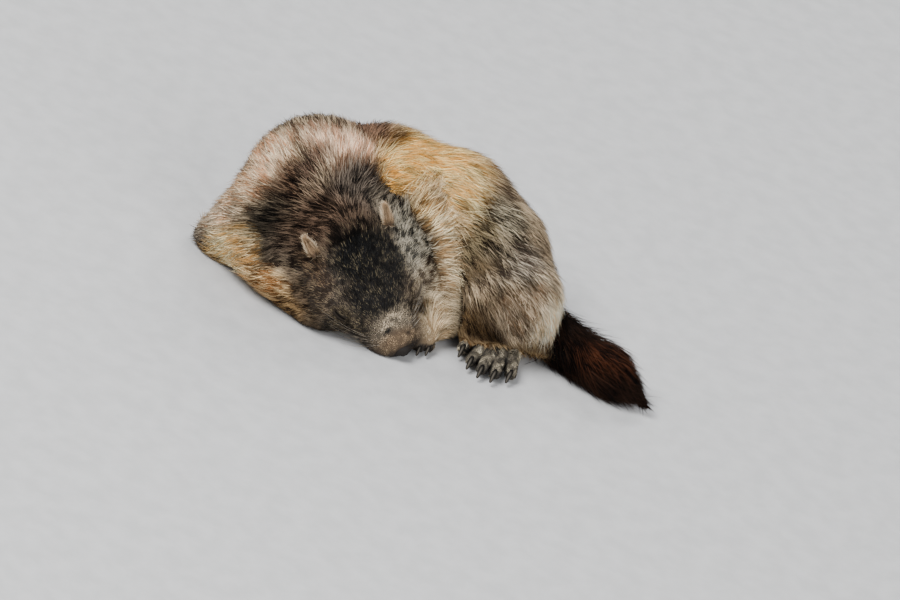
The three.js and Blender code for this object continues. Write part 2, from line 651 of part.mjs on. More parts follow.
// The nodes, each cut clear of the ones before it.
["right_fore", "left_fore", "left_hind", "right_hind"].forEach(addFoot);
add("left_arm", "arm", (grow) => facets(leftArmShape, LIMB_CELL, grow));
add("nose", "nose", nose);
add("left_eye", "lid", (grow) => eye(1, grow));
add("right_eye", "lid", (grow) => eye(-1, grow));
add("left_ear", "ear", (grow) => ear(1, grow));
add("right_ear", "ear", (grow) => ear(-1, grow));
add("jaw", "muzzle", (grow) => facets(jaw, JAW_CELL, grow, headFrame));
add("head", "crown", coated(frontShape, frontDepth, headCore, CHEEK_LOCK, cheekLie, cheeks));
add("neck", "coat", coated(frontShape, frontDepth, neckCore, RUFF_LOCK, lie, upward));
add("right_arm", "arm", (grow) => facets(rightArmShape, LIMB_CELL, grow));
add("tail_tip", "tail", tailCoat(tailTip));
add("tail_base", "tail", tailCoat(tailBase));
add("left_thigh", "haunch", bodyCoat(hipShape, leftThigh));
add("right_thigh", "haunch", bodyCoat(hipShape, rightThigh));
add("rump", "haunch", bodyCoat(hipShape, rump));
add("chest", "coat", bodyCoat(chestShape, chest));
add("loin", "band", bodyCoat(trunkShape, loin, clearOfFront));

export default group;
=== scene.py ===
# Alpine marmot asleep on its belly, life size, dressed over its solid model. The scene is in metres
# and the sums are in millimetres: +Z up, +X towards the tail, -Y towards the crown of the head.
import math

import bpy
import numpy as np
from mathutils import Matrix


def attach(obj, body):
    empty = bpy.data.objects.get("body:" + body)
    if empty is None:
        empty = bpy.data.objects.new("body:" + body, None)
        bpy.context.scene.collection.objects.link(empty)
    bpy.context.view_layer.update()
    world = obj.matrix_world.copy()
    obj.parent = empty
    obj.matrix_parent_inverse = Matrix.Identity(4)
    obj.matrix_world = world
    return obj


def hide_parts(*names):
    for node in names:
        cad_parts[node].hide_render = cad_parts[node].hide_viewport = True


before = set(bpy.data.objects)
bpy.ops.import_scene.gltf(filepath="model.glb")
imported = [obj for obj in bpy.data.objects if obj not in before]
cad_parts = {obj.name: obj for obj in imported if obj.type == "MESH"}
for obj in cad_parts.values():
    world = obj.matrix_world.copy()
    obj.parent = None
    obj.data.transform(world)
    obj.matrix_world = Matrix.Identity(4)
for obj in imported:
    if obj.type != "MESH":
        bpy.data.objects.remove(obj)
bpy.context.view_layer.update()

# Skin: one matt hide over the whole animal, seen only where the hair parts. It is a smooth closed
# surface, worked out from round masses that run into one another, and lies under the tips of the
# coat by the depth that the coat has there.
SKIN_CELL = 2.0
SKIN_OVER_FLOOR = 0.6
REGION_MELT = 3.5
FACE_DEPTH = 1.6
COAT_DEPTH = 7.0
ARM_DEPTH = 3.0
FOOT_DEPTH = 1.5
HEAD_PLACE = np.array([-36.0, -58.6, 68.2])
HEAD_FORWARD = np.array([0.746, -0.333, -0.576])
HEAD_LEFT = np.array([0.618, 0.667, 0.416])
HEAD_FORWARD /= np.linalg.norm(HEAD_FORWARD)
HEAD_LEFT -= HEAD_LEFT.dot(HEAD_FORWARD) * HEAD_FORWARD
HEAD_LEFT /= np.linalg.norm(HEAD_LEFT)
HEAD_UP = np.cross(HEAD_FORWARD, HEAD_LEFT)
HEAD_AXES = np.stack([HEAD_FORWARD, HEAD_LEFT, HEAD_UP], axis=1)


def chain(*beads):
    """Rods that join each bead, a place and a radius, to the next."""
    return [(*one, *other) for one, other in zip(beads, beads[1:])]


# Masses are eggs (centre, radii) or rods with round ends (end, radius, end, radius).
SKULL = [((6, 0, -24), (44, 37, 35)), ((46, 0, -15), (30, 35, 23)), ((56, 1, -18), 19.5, (80, 4, -17), 15.5),
         ((77, 13.5, -22), (14.5, 12, 12.5)), ((77, -6.5, -22), (14, 11, 12)),
         ((24, 26, -26), (32, 24, 26)), ((24, -26, -26), (32, 24, 26)), ((20, 0, -42), 16, (56, 0, -36), 10)]
CHEEKS = [((2, 34, -32), (34, 28, 32)), ((2, -34, -32), (34, 28, 30)),
          ((26, 36, -22), (32, 22, 26)), ((22, -36, -24), (28, 17, 22))]
JAW = [((26, 0, -43), 14, (72, 3, -33), 8.5)]
FORE = [((-47, -40, 54), 40, (-74, -8, 64), 50), ((-64, -54, 28), (54, 36, 31)),
        ((-70, 0, 62), (56, 60, 56)), ((-98, -22, 34), (36, 40, 38)), ((-110, -25, 21), (28, 32, 25)),
        ((-122, -26, 9), (24, 24, 14)),
        *chain(((3, -3, 84), 22), ((26, -9, 56), 21), ((42, -17, 31), 20), ((46, -33, 15), 17),
               ((43, -46, 13), 13))]
TRUNK = [((-70, 0, 62), (56, 60, 56)), ((-25, 30, 60), (56, 56, 58)), ((25, 33, 60), (54, 56, 58)),
         ((0, 18, 28), (106, 60, 38)), ((62, 22, 52), (50, 50, 50))]
HAUNCHES = [*TRUNK[2:], ((92, -5, 42), (40, 38, 40)), ((84, -14, 34), 28, (76, -24, 18), 20),
            ((96, -8, 26), 26, (120, -8, 20), 17), ((72, 48, 38), (36, 38, 38)),
            ((66, 52, 28), 26, (58, 62, 20), 20)]
LEFT_ARM = [((22, 2, 40), 24, (40, -6, 20), 15), ((40, -6, 18), 14, (40, -42, 11), 11)]
RIGHT_ARM = [((-92, -28, 40), 26, (-70, -42, 20), 18), ((-70, -42, 18), 16, (-48, -54, 11), 11)]
TAIL = chain(((98, 23, 28), 19.5), ((134, 4, 19.5), 19), ((173, -7, 17), 17.5), ((203, -16, 13), 13),
             ((214, -24, 8), 6))

# Feet: length, width, how far each toe is set back, radius of a toe, height of the instep. Before
# these each foot has its heel, the way of its toes, and the side that the big toe lies on.
HIND_FOOT = (80, 52, (16, 5, 0, 2, 11), 6, 11)
FORE_FOOT = (30, 27, (6, 1, 0, 5), 4.6, 9)
FEET = {
    "left_hind": ((98, 16, 0), (-0.1, -1, 0), 1, *HIND_FOOT),
    "right_hind": ((106, 50, 0), (-0.75, 0.66, 0), -1, *HIND_FOOT),
    "left_fore": ((41, -36, 0), (-0.05, -1, 0), 1, *FORE_FOOT),
    "right_fore": ((-52, -53, 0), (0.6, -0.8, 0), -1, *FORE_FOOT),
}


def to_head(points):
    """Places in the head's own axes: forward, left and up from the point between the ears."""
    return (points - HEAD_PLACE) @ HEAD_AXES


def step(value, low, high):
    """Smooth step: 0 below low, 1 above high, t * t * (3 - 2 t) between them."""
    t = np.clip((value - low) / (high - low), 0, 1)
    return t * t * (3 - 2 * t)


def mass(points, *sizes):
    """Distance to one mass. Egg: with q = (p - centre) / radii, |q| (|q| - 1) / |q / radii|. Rod: the
    distance to the nearest point of its axis less the radius there."""
    if len(sizes) == 2:
        centre, radii = np.array(sizes, dtype=np.float32)
        q = (points - centre) / radii
        far = np.linalg.norm(q, axis=-1) + 1e-6
        return far * (far - 1) / (np.linalg.norm(q / radii, axis=-1) + 1e-9)
    start, radius, end, end_radius = sizes
    start = np.array(start, dtype=np.float32)
    along = np.array(end, dtype=np.float32) - start
    t = np.clip((points - start) @ along / along.dot(along), 0, 1)
    from_axis = np.linalg.norm(points - start - t[..., None] * along, axis=-1)
    return from_axis - (radius + (end_radius - radius) * t)


def melt(reach, *distances):
    """Union of masses that run over into one another: min(a, b) - h h reach / 4, h = 1 - |a - b| / reach."""
    total = distances[0]
    for other in distances[1:]:
        h = np.maximum(reach - np.abs(total - other), 0) / reach
        total = np.minimum(total, other) - h * h * reach / 4
    return total


def masses(points, reach, sizes):
    """Distance to a list of masses, melted together over reach."""
    return melt(reach, *[mass(points, *size) for size in sizes])


def foot_axes(name):
    """Heel, and the foot's own axes as columns: towards the toes, to its left, up."""
    heel, towards = np.array(FEET[name][0], float), np.array(FEET[name][1], float)
    ahead = towards / np.linalg.norm(towards)
    return heel, np.stack([ahead, np.cross((0, 0, 1), ahead), (0, 0, 1)], axis=1)


def toes(name):
    """Tip and root of each toe in the foot's axes: tips fan over the width, roots at 0.55 of the length."""
    mirror, length, width, back, toe, instep = FEET[name][2:]
    across = (np.arange(len(back)) / (len(back) - 1) - 0.5) * mirror
    tip = np.stack([length - np.array(back) - toe, across * (width - 2 * toe),
                    np.full(len(back), toe + 0.8)], axis=1)
    root = tip * (0.55, 0.62, 0) + (0, 0, instep * 0.85)
    return tip, root


def on_foot(points):
    """For each place the number of the nearest foot, the way of its toes, and how far along it the place
    lies: 0 at the heel, 1 at the tips of the toes."""
    heels, aheads = zip(*[(foot_axes(name)[0], foot_axes(name)[1][:, 0]) for name in FEET])
    heels, aheads = np.array(heels), np.array(aheads)
    lengths = np.array([FEET[name][3] for name in FEET])
    middles = heels + 0.5 * lengths[:, None] * aheads
    which = np.argmin(np.linalg.norm(points[:, None] - middles, axis=-1), axis=1)
    return which, aheads[which], ((points - heels[which]) * aheads[which]).sum(1) / lengths[which]


def foot(points, name):
    """Distance to a foot: the sole is a rod along it, melted with the nearest of its toes, each a rod
    from root to tip."""
    length, toe, instep = FEET[name][3], FEET[name][6], FEET[name][7]
    heel, axes = foot_axes(name)
    local = (points - heel.astype(np.float32)) @ axes.astype(np.float32)
    high = instep * 0.9
    sole = mass(local, (2, 0, high), instep, (length * 0.55, 0, high), instep * 1.1)
    digits = [mass(local, root, toe + 1, tip, toe) for tip, root in zip(*toes(name))]
    return melt(4, sole, np.minimum.reduce(digits))


def beside_muzzle(h):
    """Mask of the loose fur of the collar that lies against the left side of the muzzle."""
    return step(h[..., 1], 29, 38) * step(h[..., 0], 52, 72)


def head_depth(h):
    """Depth of the coat over the skin of the front: shallow on the face, full behind and beside it."""
    bare = 25 * (1 - step(np.abs(h[..., 1]), 10, 32))
    beside = np.maximum(step(np.abs(h[..., 1]), 44, 60), beside_muzzle(h))
    full = np.maximum(step(-h[..., 0], bare - 16, bare + 22), beside)
    return FACE_DEPTH + (COAT_DEPTH - FACE_DEPTH) * full


def front_tips(points):
    """Distance to the tips of the coat over the head, neck and chest."""
    h = to_head(points).astype(np.float32)
    skull = melt(3, masses(h, 10, SKULL), masses(h, 2, JAW))
    return melt(16, skull, masses(h, 4, CHEEKS), masses(points, 16, FORE))


def regions(points):
    """Distance to the skin of each region: front, trunk, arms, feet, tail."""
    front = front_tips(points) + head_depth(to_head(points).astype(np.float32))
    trunk = np.minimum(masses(points, 16, TRUNK), masses(points, 14, HAUNCHES)) + COAT_DEPTH
    arms = np.minimum(masses(points, 10, LEFT_ARM), masses(points, 10, RIGHT_ARM)) + ARM_DEPTH
    feet = np.minimum.reduce([foot(points, name) for name in FEET]) + FOOT_DEPTH
    x = points[..., 0]
    tail = masses(points, 6, TAIL) + 8 * (1 - 0.5 * step(x, 130, 215)) + 10 * step(x, 180, 215)
    return np.stack([front, trunk, arms, feet, tail])


def hide(points):
    """Distance to the skin: the regions melted together, and flat where it lies on the floor."""
    return np.maximum(melt(REGION_MELT, *regions(points)), SKIN_OVER_FLOOR - points[..., 2])


def unit(vectors):
    """The same directions, each one long."""
    return vectors / (np.linalg.norm(vectors, axis=-1, keepdims=True) + 1e-9)


def slope(field, points, reach=0.6):
    """Unit direction in which a field grows fastest, from its values a little way off on each side."""
    sides = np.eye(3, dtype=np.float32) * reach
    change = np.stack([field(points + side) - field(points - side) for side in sides], axis=-1)
    return unit(change)


def net(values, low, cell):
    """Closed surface where the values on a lattice change sign: one corner in each crossed cell, at the
    mean of the crossings on its edges, and one quad round each crossed edge of the lattice."""
    inside = values < 0
    count = inside.astype(np.int8)
    count = count[:-1] + count[1:]
    count = count[:, :-1] + count[:, 1:]
    count = count[:, :, :-1] + count[:, :, 1:]
    cells = np.argwhere((count > 0) & (count < 8))
    number = np.full(count.shape, -1)
    number[tuple(cells.T)] = np.arange(len(cells))
    total = np.zeros((len(cells), 3))
    crossings = np.zeros(len(cells))
    quads = []
    for axis in range(3):
        ahead = np.eye(3, dtype=int)[axis]
        across = [(axis + 1) % 3, (axis + 2) % 3]
        one, two = np.eye(3, dtype=int)[across]
        for corner in (0 * one, one, two, one + two):
            start = cells + corner
            a, b = values[tuple(start.T)], values[tuple((start + ahead).T)]
            crossed = (a < 0) != (b < 0)
            t = np.where(crossed, a / np.where(a == b, 1, a - b), 0)
            total += crossed[:, None] * (start + t[:, None] * ahead)
            crossings += crossed
        change = np.diff(inside.astype(np.int8), axis=axis)
        edges = np.argwhere(change)
        edges = edges[((edges > 0) & (edges < count.shape))[:, across].all(1)]
        ring = np.stack([number[tuple((edges - s).T)] for s in (one + two, two, 0 * one, one)], axis=1)
        outward = change[tuple(edges.T)] < 0
        quads.append(np.where(outward[:, None], ring, ring[:, ::-1]))
    return low + cell * total / crossings[:, None], np.concatenate(quads)


def piece(name, corners, faces, material, uv=None, colours=None):
    """Mesh of corners in millimetres and faces of three or four corners, with a map and colours at its
    corners, riding on the one body."""
    mesh = bpy.data.meshes.new(name)
    faces = np.asarray(faces)
    sides = faces.shape[1]
    mesh.vertices.add(len(corners))
    mesh.vertices.foreach_set("co", (np.asarray(corners, dtype=np.float32) * 0.001).ravel())
    mesh.loops.add(faces.size)
    mesh.loops.foreach_set("vertex_index", faces.ravel().astype(np.int32))
    mesh.polygons.add(len(faces))
    mesh.polygons.foreach_set("loop_start", np.arange(0, faces.size, sides, dtype=np.int32))
    mesh.polygons.foreach_set("use_smooth", np.ones(len(faces), dtype=bool))
    mesh.update(calc_edges=True)
    if uv is not None:
        layer = mesh.uv_layers.new(name="OFBake")
        layer.data.foreach_set("uv", np.asarray(uv, dtype=np.float32)[faces.ravel()].ravel())
    if colours is not None:
        layer = mesh.color_attributes.new("markings", "FLOAT_COLOR", "POINT")
        full = np.concatenate([colours, np.ones((len(colours), 1))], axis=1)
        layer.data.foreach_set("color", full.astype(np.float32).ravel())
    mesh.materials.append(material)
    thing = bpy.data.objects.new(name, mesh)
    bpy.context.collection.objects.link(thing)
    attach(thing, "root")
    return thing


class Wire:
    """A number, colour or vector on its way through a material, and the nodes that it may pass."""

    def __init__(self, tree, socket):
        self.tree = tree
        self.socket = socket

    def node(self, kind, settings=None, output=0, **inputs):
        """Any node by its type, with its settings set first and then its sockets, by name or _number."""
        made = self.tree.nodes.new(kind)
        for name, value in (settings or {}).items():
            setattr(made, name, value)
        for name, value in inputs.items():
            place = int(name[1:]) if name[0] == "_" else name.replace("_", " ")
            if isinstance(value, Wire):
                self.tree.links.new(value.socket, made.inputs[place])
            else:
                made.inputs[place].default_value = value
        return Wire(self.tree, made.outputs[output])

    def mix(self, first, second):
        """Colour between two colours, by this wire as the share of the second."""
        return self.node("ShaderNodeMix", {"data_type": "RGBA"}, output=2, _0=self, _6=first, _7=second)

    def noise(self, scale, detail=3.0):
        return self.node("ShaderNodeTexNoise", Vector=self, Scale=scale, Detail=detail)

    def range(self, low, high, to_low=0.0, to_high=1.0):
        return self.node("ShaderNodeMapRange", _0=self, _1=low, _2=high, _3=to_low, _4=to_high)

    def bump(self, strength, distance):
        return self.node("ShaderNodeBump", Height=self, Strength=strength, Distance=distance)


def finish_of(name, specular):
    """A new material, a function that feeds its shader, and wires for the place on the piece and for
    the piece's own colours."""
    material = bpy.data.materials.new(name)
    material.use_nodes = True
    tree = material.node_tree
    shader = tree.nodes["Principled BSDF"]
    shader.inputs["Specular IOR Level"].default_value = specular
    base = Wire(tree, None)
    place = base.node("ShaderNodeTexCoord", output=3)
    markings = base.node("ShaderNodeAttribute", {"attribute_name": "markings"})

    def feed(socket, wire):
        tree.links.new(wire.socket, shader.inputs[socket])

    return material, feed, place, markings


def linear(*hue):
    """Light value of a paint colour given as 0 to 255: ((c + 0.055) / 1.055) ** 2.4 of its fraction."""
    return (((np.array(hue) / 255 + 0.055) / 1.055) ** 2.4).astype(np.float32)


LATTICE_LOW = np.array([-150, -102, -4], dtype=np.float32)
LATTICE_HIGH = np.array([226, 114, 126], dtype=np.float32)
ticks = [np.arange(low, high, SKIN_CELL, dtype=np.float32) for low, high in zip(LATTICE_LOW, LATTICE_HIGH)]
lattice = np.stack(np.meshgrid(*ticks, indexing="ij"), axis=-1)
hide_values = np.stack([hide(layer) for layer in lattice])
skin_corners, skin_quads = net(hide_values, LATTICE_LOW, SKIN_CELL)
skin_corners = skin_corners.astype(np.float32)
for _ in range(2):
    skin_out = slope(hide, skin_corners)
    skin_corners -= skin_out * np.clip(hide(skin_corners), -0.8, 0.8)[:, None]
skin_out = slope(hide, skin_corners)

skin_material, feed, place, markings = finish_of("hide", specular=0.3)
wrinkle = place.noise(420, 4.0)
feed("Base Color", markings)
feed("Roughness", wrinkle.range(0.3, 0.7, 0.75, 0.95))
feed("Normal", wrinkle.bump(0.5, 0.0008))

# Markings: grizzled coat, each hair dark at its root and paler to its tip, its root darkened further by
# painted shade of the coat over it, with clumps of dark guard hairs on the body. The hues are chosen patch
# by patch, and worked out from the place on the body for the skin and the coat alike. Some patches are
# painted shadow, as noted at each.
GRAIN_CELLS = 32
GRAIN = np.random.default_rng(5).random((GRAIN_CELLS,) * 3).astype(np.float32)


def blended(base, t, value_at):
    """Values at the eight corners of each place's lattice cell, summed by how near t is to each."""
    total = 0
    for i, j, k in np.ndindex(2, 2, 2):
        weight = np.abs(1 - i - t[:, 0]) * np.abs(1 - j - t[:, 1]) * np.abs(1 - k - t[:, 2])
        part = value_at(base[:, 0] + i, base[:, 1] + j, base[:, 2] + k)
        total = total + (weight[:, None] * part if part.ndim == 2 else weight * part)
    return total


def mottle(points, size):
    """Smooth random field, 0 to 1: values on a lattice of that cell size, joined by smooth steps."""
    q = points / size
    base = np.floor(q).astype(int)
    t = q - base
    return blended(base, t * t * (3 - 2 * t),
                   lambda *corner: GRAIN[tuple(np.mod(corner, GRAIN_CELLS))])


def near(points, centre, radii, soft=0.9):
    """Mask that is 1 inside an egg and falls to 0 over the share soft outside its edge."""
    far = np.linalg.norm((points - np.array(centre)) / np.array(radii), axis=-1)
    return 1 - step(far, 1 - soft / 2, 1 + soft / 2)


# Patches of the coat in world places: where, how far they reach, hue at the roots, hue at the tips.
PATCHES = [
    ((-57, -16, 112), (38, 20, 18), (212, 164, 130), (255, 230, 200)),
    ((-112, -24, 80), (20, 26, 26), (222, 168, 126), (255, 238, 206)),
    ((-124, -30, 56), (15, 22, 24), (200, 154, 114), (255, 234, 200)),
    ((-93, -50, 80), (15, 14, 16), (22, 13, 10), (120, 94, 74)),
    ((-80, -40, 98), (7, 15, 14), (26, 18, 14), (124, 100, 84)),
    ((-92, -66, 48), (27, 22, 24), (8, 7, 5), (74, 66, 55)),
    ((-130, -36, 32), (14, 26, 18), (206, 166, 128), (255, 238, 210)),
    ((-144, -36, 8), (13, 24, 13), (70, 62, 54), (180, 166, 146)),
    ((-108, -62, 18), (26, 24, 17), (250, 200, 124), (255, 248, 204)),
    ((-74, -86, 16), (24, 16, 15), (150, 102, 58), (250, 220, 168)),
    # painted shadow: dark patch under the fringe of the collar where it meets the floor
    ((-46, -92, 14), (14, 12, 14), (30, 22, 14), (120, 92, 60)),
    ((0, 12, 104), (40, 40, 24), (228, 166, 82), (255, 234, 166)),
    ((-50, 28, 104), (24, 22, 18), (52, 34, 24), (164, 128, 102)),
    ((30, -4, 96), (22, 30, 26), (224, 174, 102), (255, 242, 188)),
    ((33, -2, 84), (15, 24, 15), (176, 142, 96), (252, 230, 188)),
    # painted shadow: a dark strip down the crease between the pale band and the haunch
    ((48, -10, 72), (9, 14, 14), (66, 50, 36), (206, 182, 138)),
    ((66, 6, 98), (18, 22, 20), (30, 25, 21), (212, 198, 168)),
    # painted shadow: more of the same strip between the band and the haunch
    ((54, -8, 82), (8, 18, 18), (44, 34, 24), (170, 152, 116)),
    ((74, -22, 80), (18, 18, 18), (24, 20, 17), (196, 178, 150)),
    ((96, -16, 76), (20, 20, 18), (84, 72, 62), (230, 216, 192)),
    ((118, -22, 66), (20, 26, 22), (122, 104, 84), (236, 216, 184)),
    # The next three: the leg's own dark brown, made darker still as painted shade low on the haunch by the
    # floor.
    ((88, -38, 46), (20, 16, 16), (26, 17, 12), (124, 100, 70)),
    ((72, -32, 34), (14, 14, 16), (36, 25, 16), (112, 90, 62)),
    ((92, -44, 32), (18, 18, 15), (20, 13, 8), (84, 64, 40)),
    ((106, -28, 46), (20, 18, 18), (136, 110, 84), (250, 228, 196)),
    ((126, -10, 38), (18, 28, 22), (236, 208, 164), (255, 252, 232)),
    ((118, -26, 20), (22, 20, 10), (104, 80, 56), (182, 158, 120)),
    # painted shadow: the lower end of that strip, in the gap behind the fringe of the collar
    ((57, -24, 50), (9, 16, 26), (30, 22, 16), (126, 106, 78)),
]
# Patches of the head in its own axes.
FACE_PATCHES = [
    ((-22, -10, 6), (22, 38, 26), (28, 20, 15), (130, 105, 86)),
    ((-32, 28, 4), (22, 26, 26), (20, 16, 14), (116, 104, 92)),
    ((-8, 44, 0), (18, 18, 20), (22, 18, 16), (150, 138, 120)),
    ((20, 0, 12), (31, 29, 24), (1, 1, 1), (9, 8, 6)),
    ((30, 18, 8), (20, 18, 20), (5, 4, 4), (36, 33, 29)),
    ((50, -4, 6), (18, 26, 20), (4, 3, 3), (34, 30, 26)),
    ((12, -36, 4), (22, 8, 16), (30, 22, 17), (108, 88, 68)),
    ((30, -48, -14), (30, 14, 20), (28, 21, 15), (118, 100, 80)),
    ((60, -28, -12), (18, 14, 16), (12, 10, 8), (80, 70, 57)),
    ((10, 38, 6), (22, 9, 14), (5, 4, 4), (112, 104, 92)),
    ((28, 48, -2), (32, 15, 26), (4, 4, 3), (178, 170, 152)),
    ((60, 46, -14), (22, 13, 24), (70, 56, 44), (216, 200, 172)),
    ((-16, -64, -42), (24, 16, 20), (214, 166, 104), (255, 238, 194)),
    ((8, -66, -28), (20, 14, 18), (150, 102, 58), (250, 220, 168)),
    ((30, -62, -26), (18, 12, 16), (60, 42, 26), (200, 164, 116)),
    ((-4, 90, -4), (28, 26, 40), (108, 80, 54), (236, 208, 164)),
    ((30, 94, -10), (30, 27, 40), (202, 164, 116), (255, 244, 208)),
    ((62, 90, -20), (30, 28, 40), (180, 148, 108), (255, 240, 202)),
    ((90, 54, -28), (26, 28, 28), (162, 134, 98), (244, 224, 188)),
    ((74, 4, 0), (13, 22, 18), (32, 26, 21), (214, 196, 168)),
    ((84, 4, -6), (9, 18, 16), (50, 36, 26), (200, 172, 136)),
    ((91, 6, -16), (8, 12, 9), (14, 11, 9), (58, 46, 36)),
    # painted shade: two thin dark strokes in the folds between the nose and the whisker pads
    ((74, -4, 0), (1.8, 4.2, 9), (3, 2, 2), (16, 12, 10)),
    ((80, 10, 0), (1.7, 3.2, 9), (3, 2, 2), (18, 14, 12)),
]


def coat_hues(points, region):
    """Hue at the root and at the tip of the hair: base hues, then each patch painted over by its mask."""
    h = to_head(points)
    ripple = 14 * (mottle(points, 24) - 0.5) + 8 * (mottle(points, 9) - 0.5)
    rippled = points + ripple[:, None]
    x, y, z = rippled.T
    front, trunk, arms, feet, tail = [region == n for n in range(5)]
    dark = np.tile(linear(66, 52, 42), (len(points), 1))
    pale = np.tile(linear(202, 180, 148), (len(points), 1))

    def paint(mask, dark_hue, pale_hue):
        dark[:] += mask[:, None] * (linear(*dark_hue) - dark)
        pale[:] += mask[:, None] * (linear(*pale_hue) - pale)

    body = trunk | front
    face = h + 0.45 * ripple[:, None]
    behind = 1 - front * step(face[:, 0], -40, -20)
    band = step(x, -40, 4) * (1 - step(x, 26, 66)) * (1 - 0.75 * step(y, 24, 80))
    paint(body * behind * band, (142, 106, 66), (236, 208, 162))
    paint(body * (1 - step(z, 12, 34)), (100, 74, 48), (206, 176, 132))
    for centre, radii, dark_hue, pale_hue in PATCHES:
        paint(body * near(rippled, centre, radii), dark_hue, pale_hue)
    middle = (1 - step(np.abs(face[:, 1]), 48, 60)) * step(face[:, 2], -52, -38)
    paint(front * step(face[:, 0], -30, -12) * middle, (26, 20, 16), (120, 106, 90))
    for centre, radii, dark_hue, pale_hue in FACE_PATCHES:
        paint(front * near(face, centre, radii), dark_hue, pale_hue)
    paint(arms, (104, 84, 62), (214, 196, 166))
    paint(feet, (40, 34, 29), (240, 226, 196))
    which, _, along = on_foot(points)
    for n, name in enumerate(FEET):
        heel, axes = foot_axes(name)
        ahead, across, _ = ((points - heel) @ axes).T
        toe = FEET[name][6]
        tip, start = toes(name)
        on_toe = np.clip((ahead[:, None] - start[:, 0]) / (tip[:, 0] - start[:, 0]), -0.3, 1.1)
        middle = start[:, 1] + on_toe * (tip[:, 1] - start[:, 1])
        aside = np.abs(across[:, None] + 0.09 * ripple[:, None] - middle).min(1)
        here = feet & (which == n)
        patchy = step(mottle(points, 4), 0.47, 0.6)
        paint(here * patchy * 0.75, (9, 7, 6), (70, 62, 52))
        paint(here * step(along, 0.84, 0.96) * 0.7, (22, 20, 19), (104, 98, 90))
        # painted shade: near black in the gaps between the toes
        toe_gap_shade = step(aside, toe * 0.52, toe * 0.74) * step(along, 0.5, 0.68)
        paint(here * toe_gap_shade * 0.95, (4, 3, 3), (20, 17, 14))
        if name.endswith("fore"):
            paint(here * step(along, 0.2, 0.5), (16, 13, 11), (104, 92, 78))
    paint(tail, (3, 2, 2), (46, 31, 23))
    paint(tail * near(rippled, (168, -16, 28), (22, 12, 10)), (10, 6, 4), (86, 50, 33))
    return dark, pale


def region_of(points):
    """Number of the region whose skin is nearest."""
    return np.argmin(regions(points.astype(np.float32)), axis=0)


skin_region = region_of(skin_corners)
dark, pale = coat_hues(skin_corners, skin_region)
skin = piece("skin", skin_corners, skin_quads, skin_material, colours=0.75 * dark + 0.1 * pale)
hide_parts("head", "jaw", "neck", "chest", "loin", "rump", "left_thigh", "right_thigh", "left_arm",
            "right_arm", "tail_base", "tail_tip", *[name + "_foot" for name in FEET])
bpy.context.view_layer.objects.active = skin
skin.select_set(True)
bpy.ops.object.mode_set(mode="EDIT")
bpy.ops.mesh.select_all(action="SELECT")
bpy.ops.uv.smart_project(angle_limit=1.15, island_margin=0.002)
bpy.ops.object.mode_set(mode="OBJECT")
skin.data.uv_layers[0].name = "OFBake"
skin_map = np.empty(skin_quads.size * 2, dtype=np.float32)
skin.data.uv_layers[0].data.foreach_get("uv", skin_map)
skin_map = skin_map.reshape(-1, 4, 2)

# Coat: tufts of hair rooted in the skin, each a thin closed blade of three sides that tapers to a
# point, lies along the stroke of the coat and leans over its neighbours. Soft, dense and matt.
random = np.random.default_rng(21)
CROWN = np.array([-42.0, -60.0, 80.0])
CHEEK_FAN = HEAD_PLACE + HEAD_AXES @ (30, 0, 0)
COAT_SINK = 0.8
COAT_HUG = 0.85
HAIR_OVER_FLOOR = 0.3
skin_slopes = np.stack(np.gradient(hide_values, SKIN_CELL), axis=-1)


def sampled(grid, points):
    """Value of the skin's lattice at places between its points."""
    q = np.clip((points - LATTICE_LOW) / SKIN_CELL, 0, np.array(grid.shape[:3]) - 1.001)
    base = q.astype(int)
    return blended(base, q - base, lambda *corner: grid[corner])


def stroke(points, region):
    """The way the coat lies: back over the face from the nose, outwards from the crown over neck and
    chest, along the body to the tail, down the haunches and arms, along the toes and the tail."""
    h = to_head(points)
    aside = np.abs(h[:, 1])
    outwards = 0.55 * (np.sign(h[:, 1]) * step(aside, 5, 45))[:, None]
    droop = 0.25 * step(aside, 20, 45)[:, None]
    face = unit(-HEAD_FORWARD + outwards * HEAD_LEFT - droop * HEAD_UP)
    fan = unit(points - CHEEK_FAN)
    face = face + step(aside, 30, 54)[:, None] * (fan - face)
    around = unit(points - CROWN)
    front = around + step(h[:, 0], -30, 10)[:, None] * (unit(face) - around)
    down = -0.25 - 0.9 * step(points[:, 0], 30, 120)
    along = unit(np.stack([np.ones_like(down), np.full_like(down, -0.12), down], axis=1))
    trunk = around + step(points[:, 0], -75, 5)[:, None] * (along - around)
    wrist = step(-points[:, 1], 10, 40)
    arms = unit(np.stack([0.5 - 0.5 * wrist, -0.3 - wrist, -0.7 + 0.3 * wrist], axis=1))
    feet = on_foot(points)[1]
    tail_way = unit(np.array([0.88, -0.4, -0.2]))
    off_axis = points - (173, -7, 17)
    off_axis = off_axis - (off_axis @ tail_way)[:, None] * tail_way
    tail = tail_way + (0.05 - 0.12 * step(points[:, 0], 165, 200))[:, None] * off_axis
    ways = np.stack([front, trunk, arms, feet, tail])
    return unit(ways[region, np.arange(len(points))])


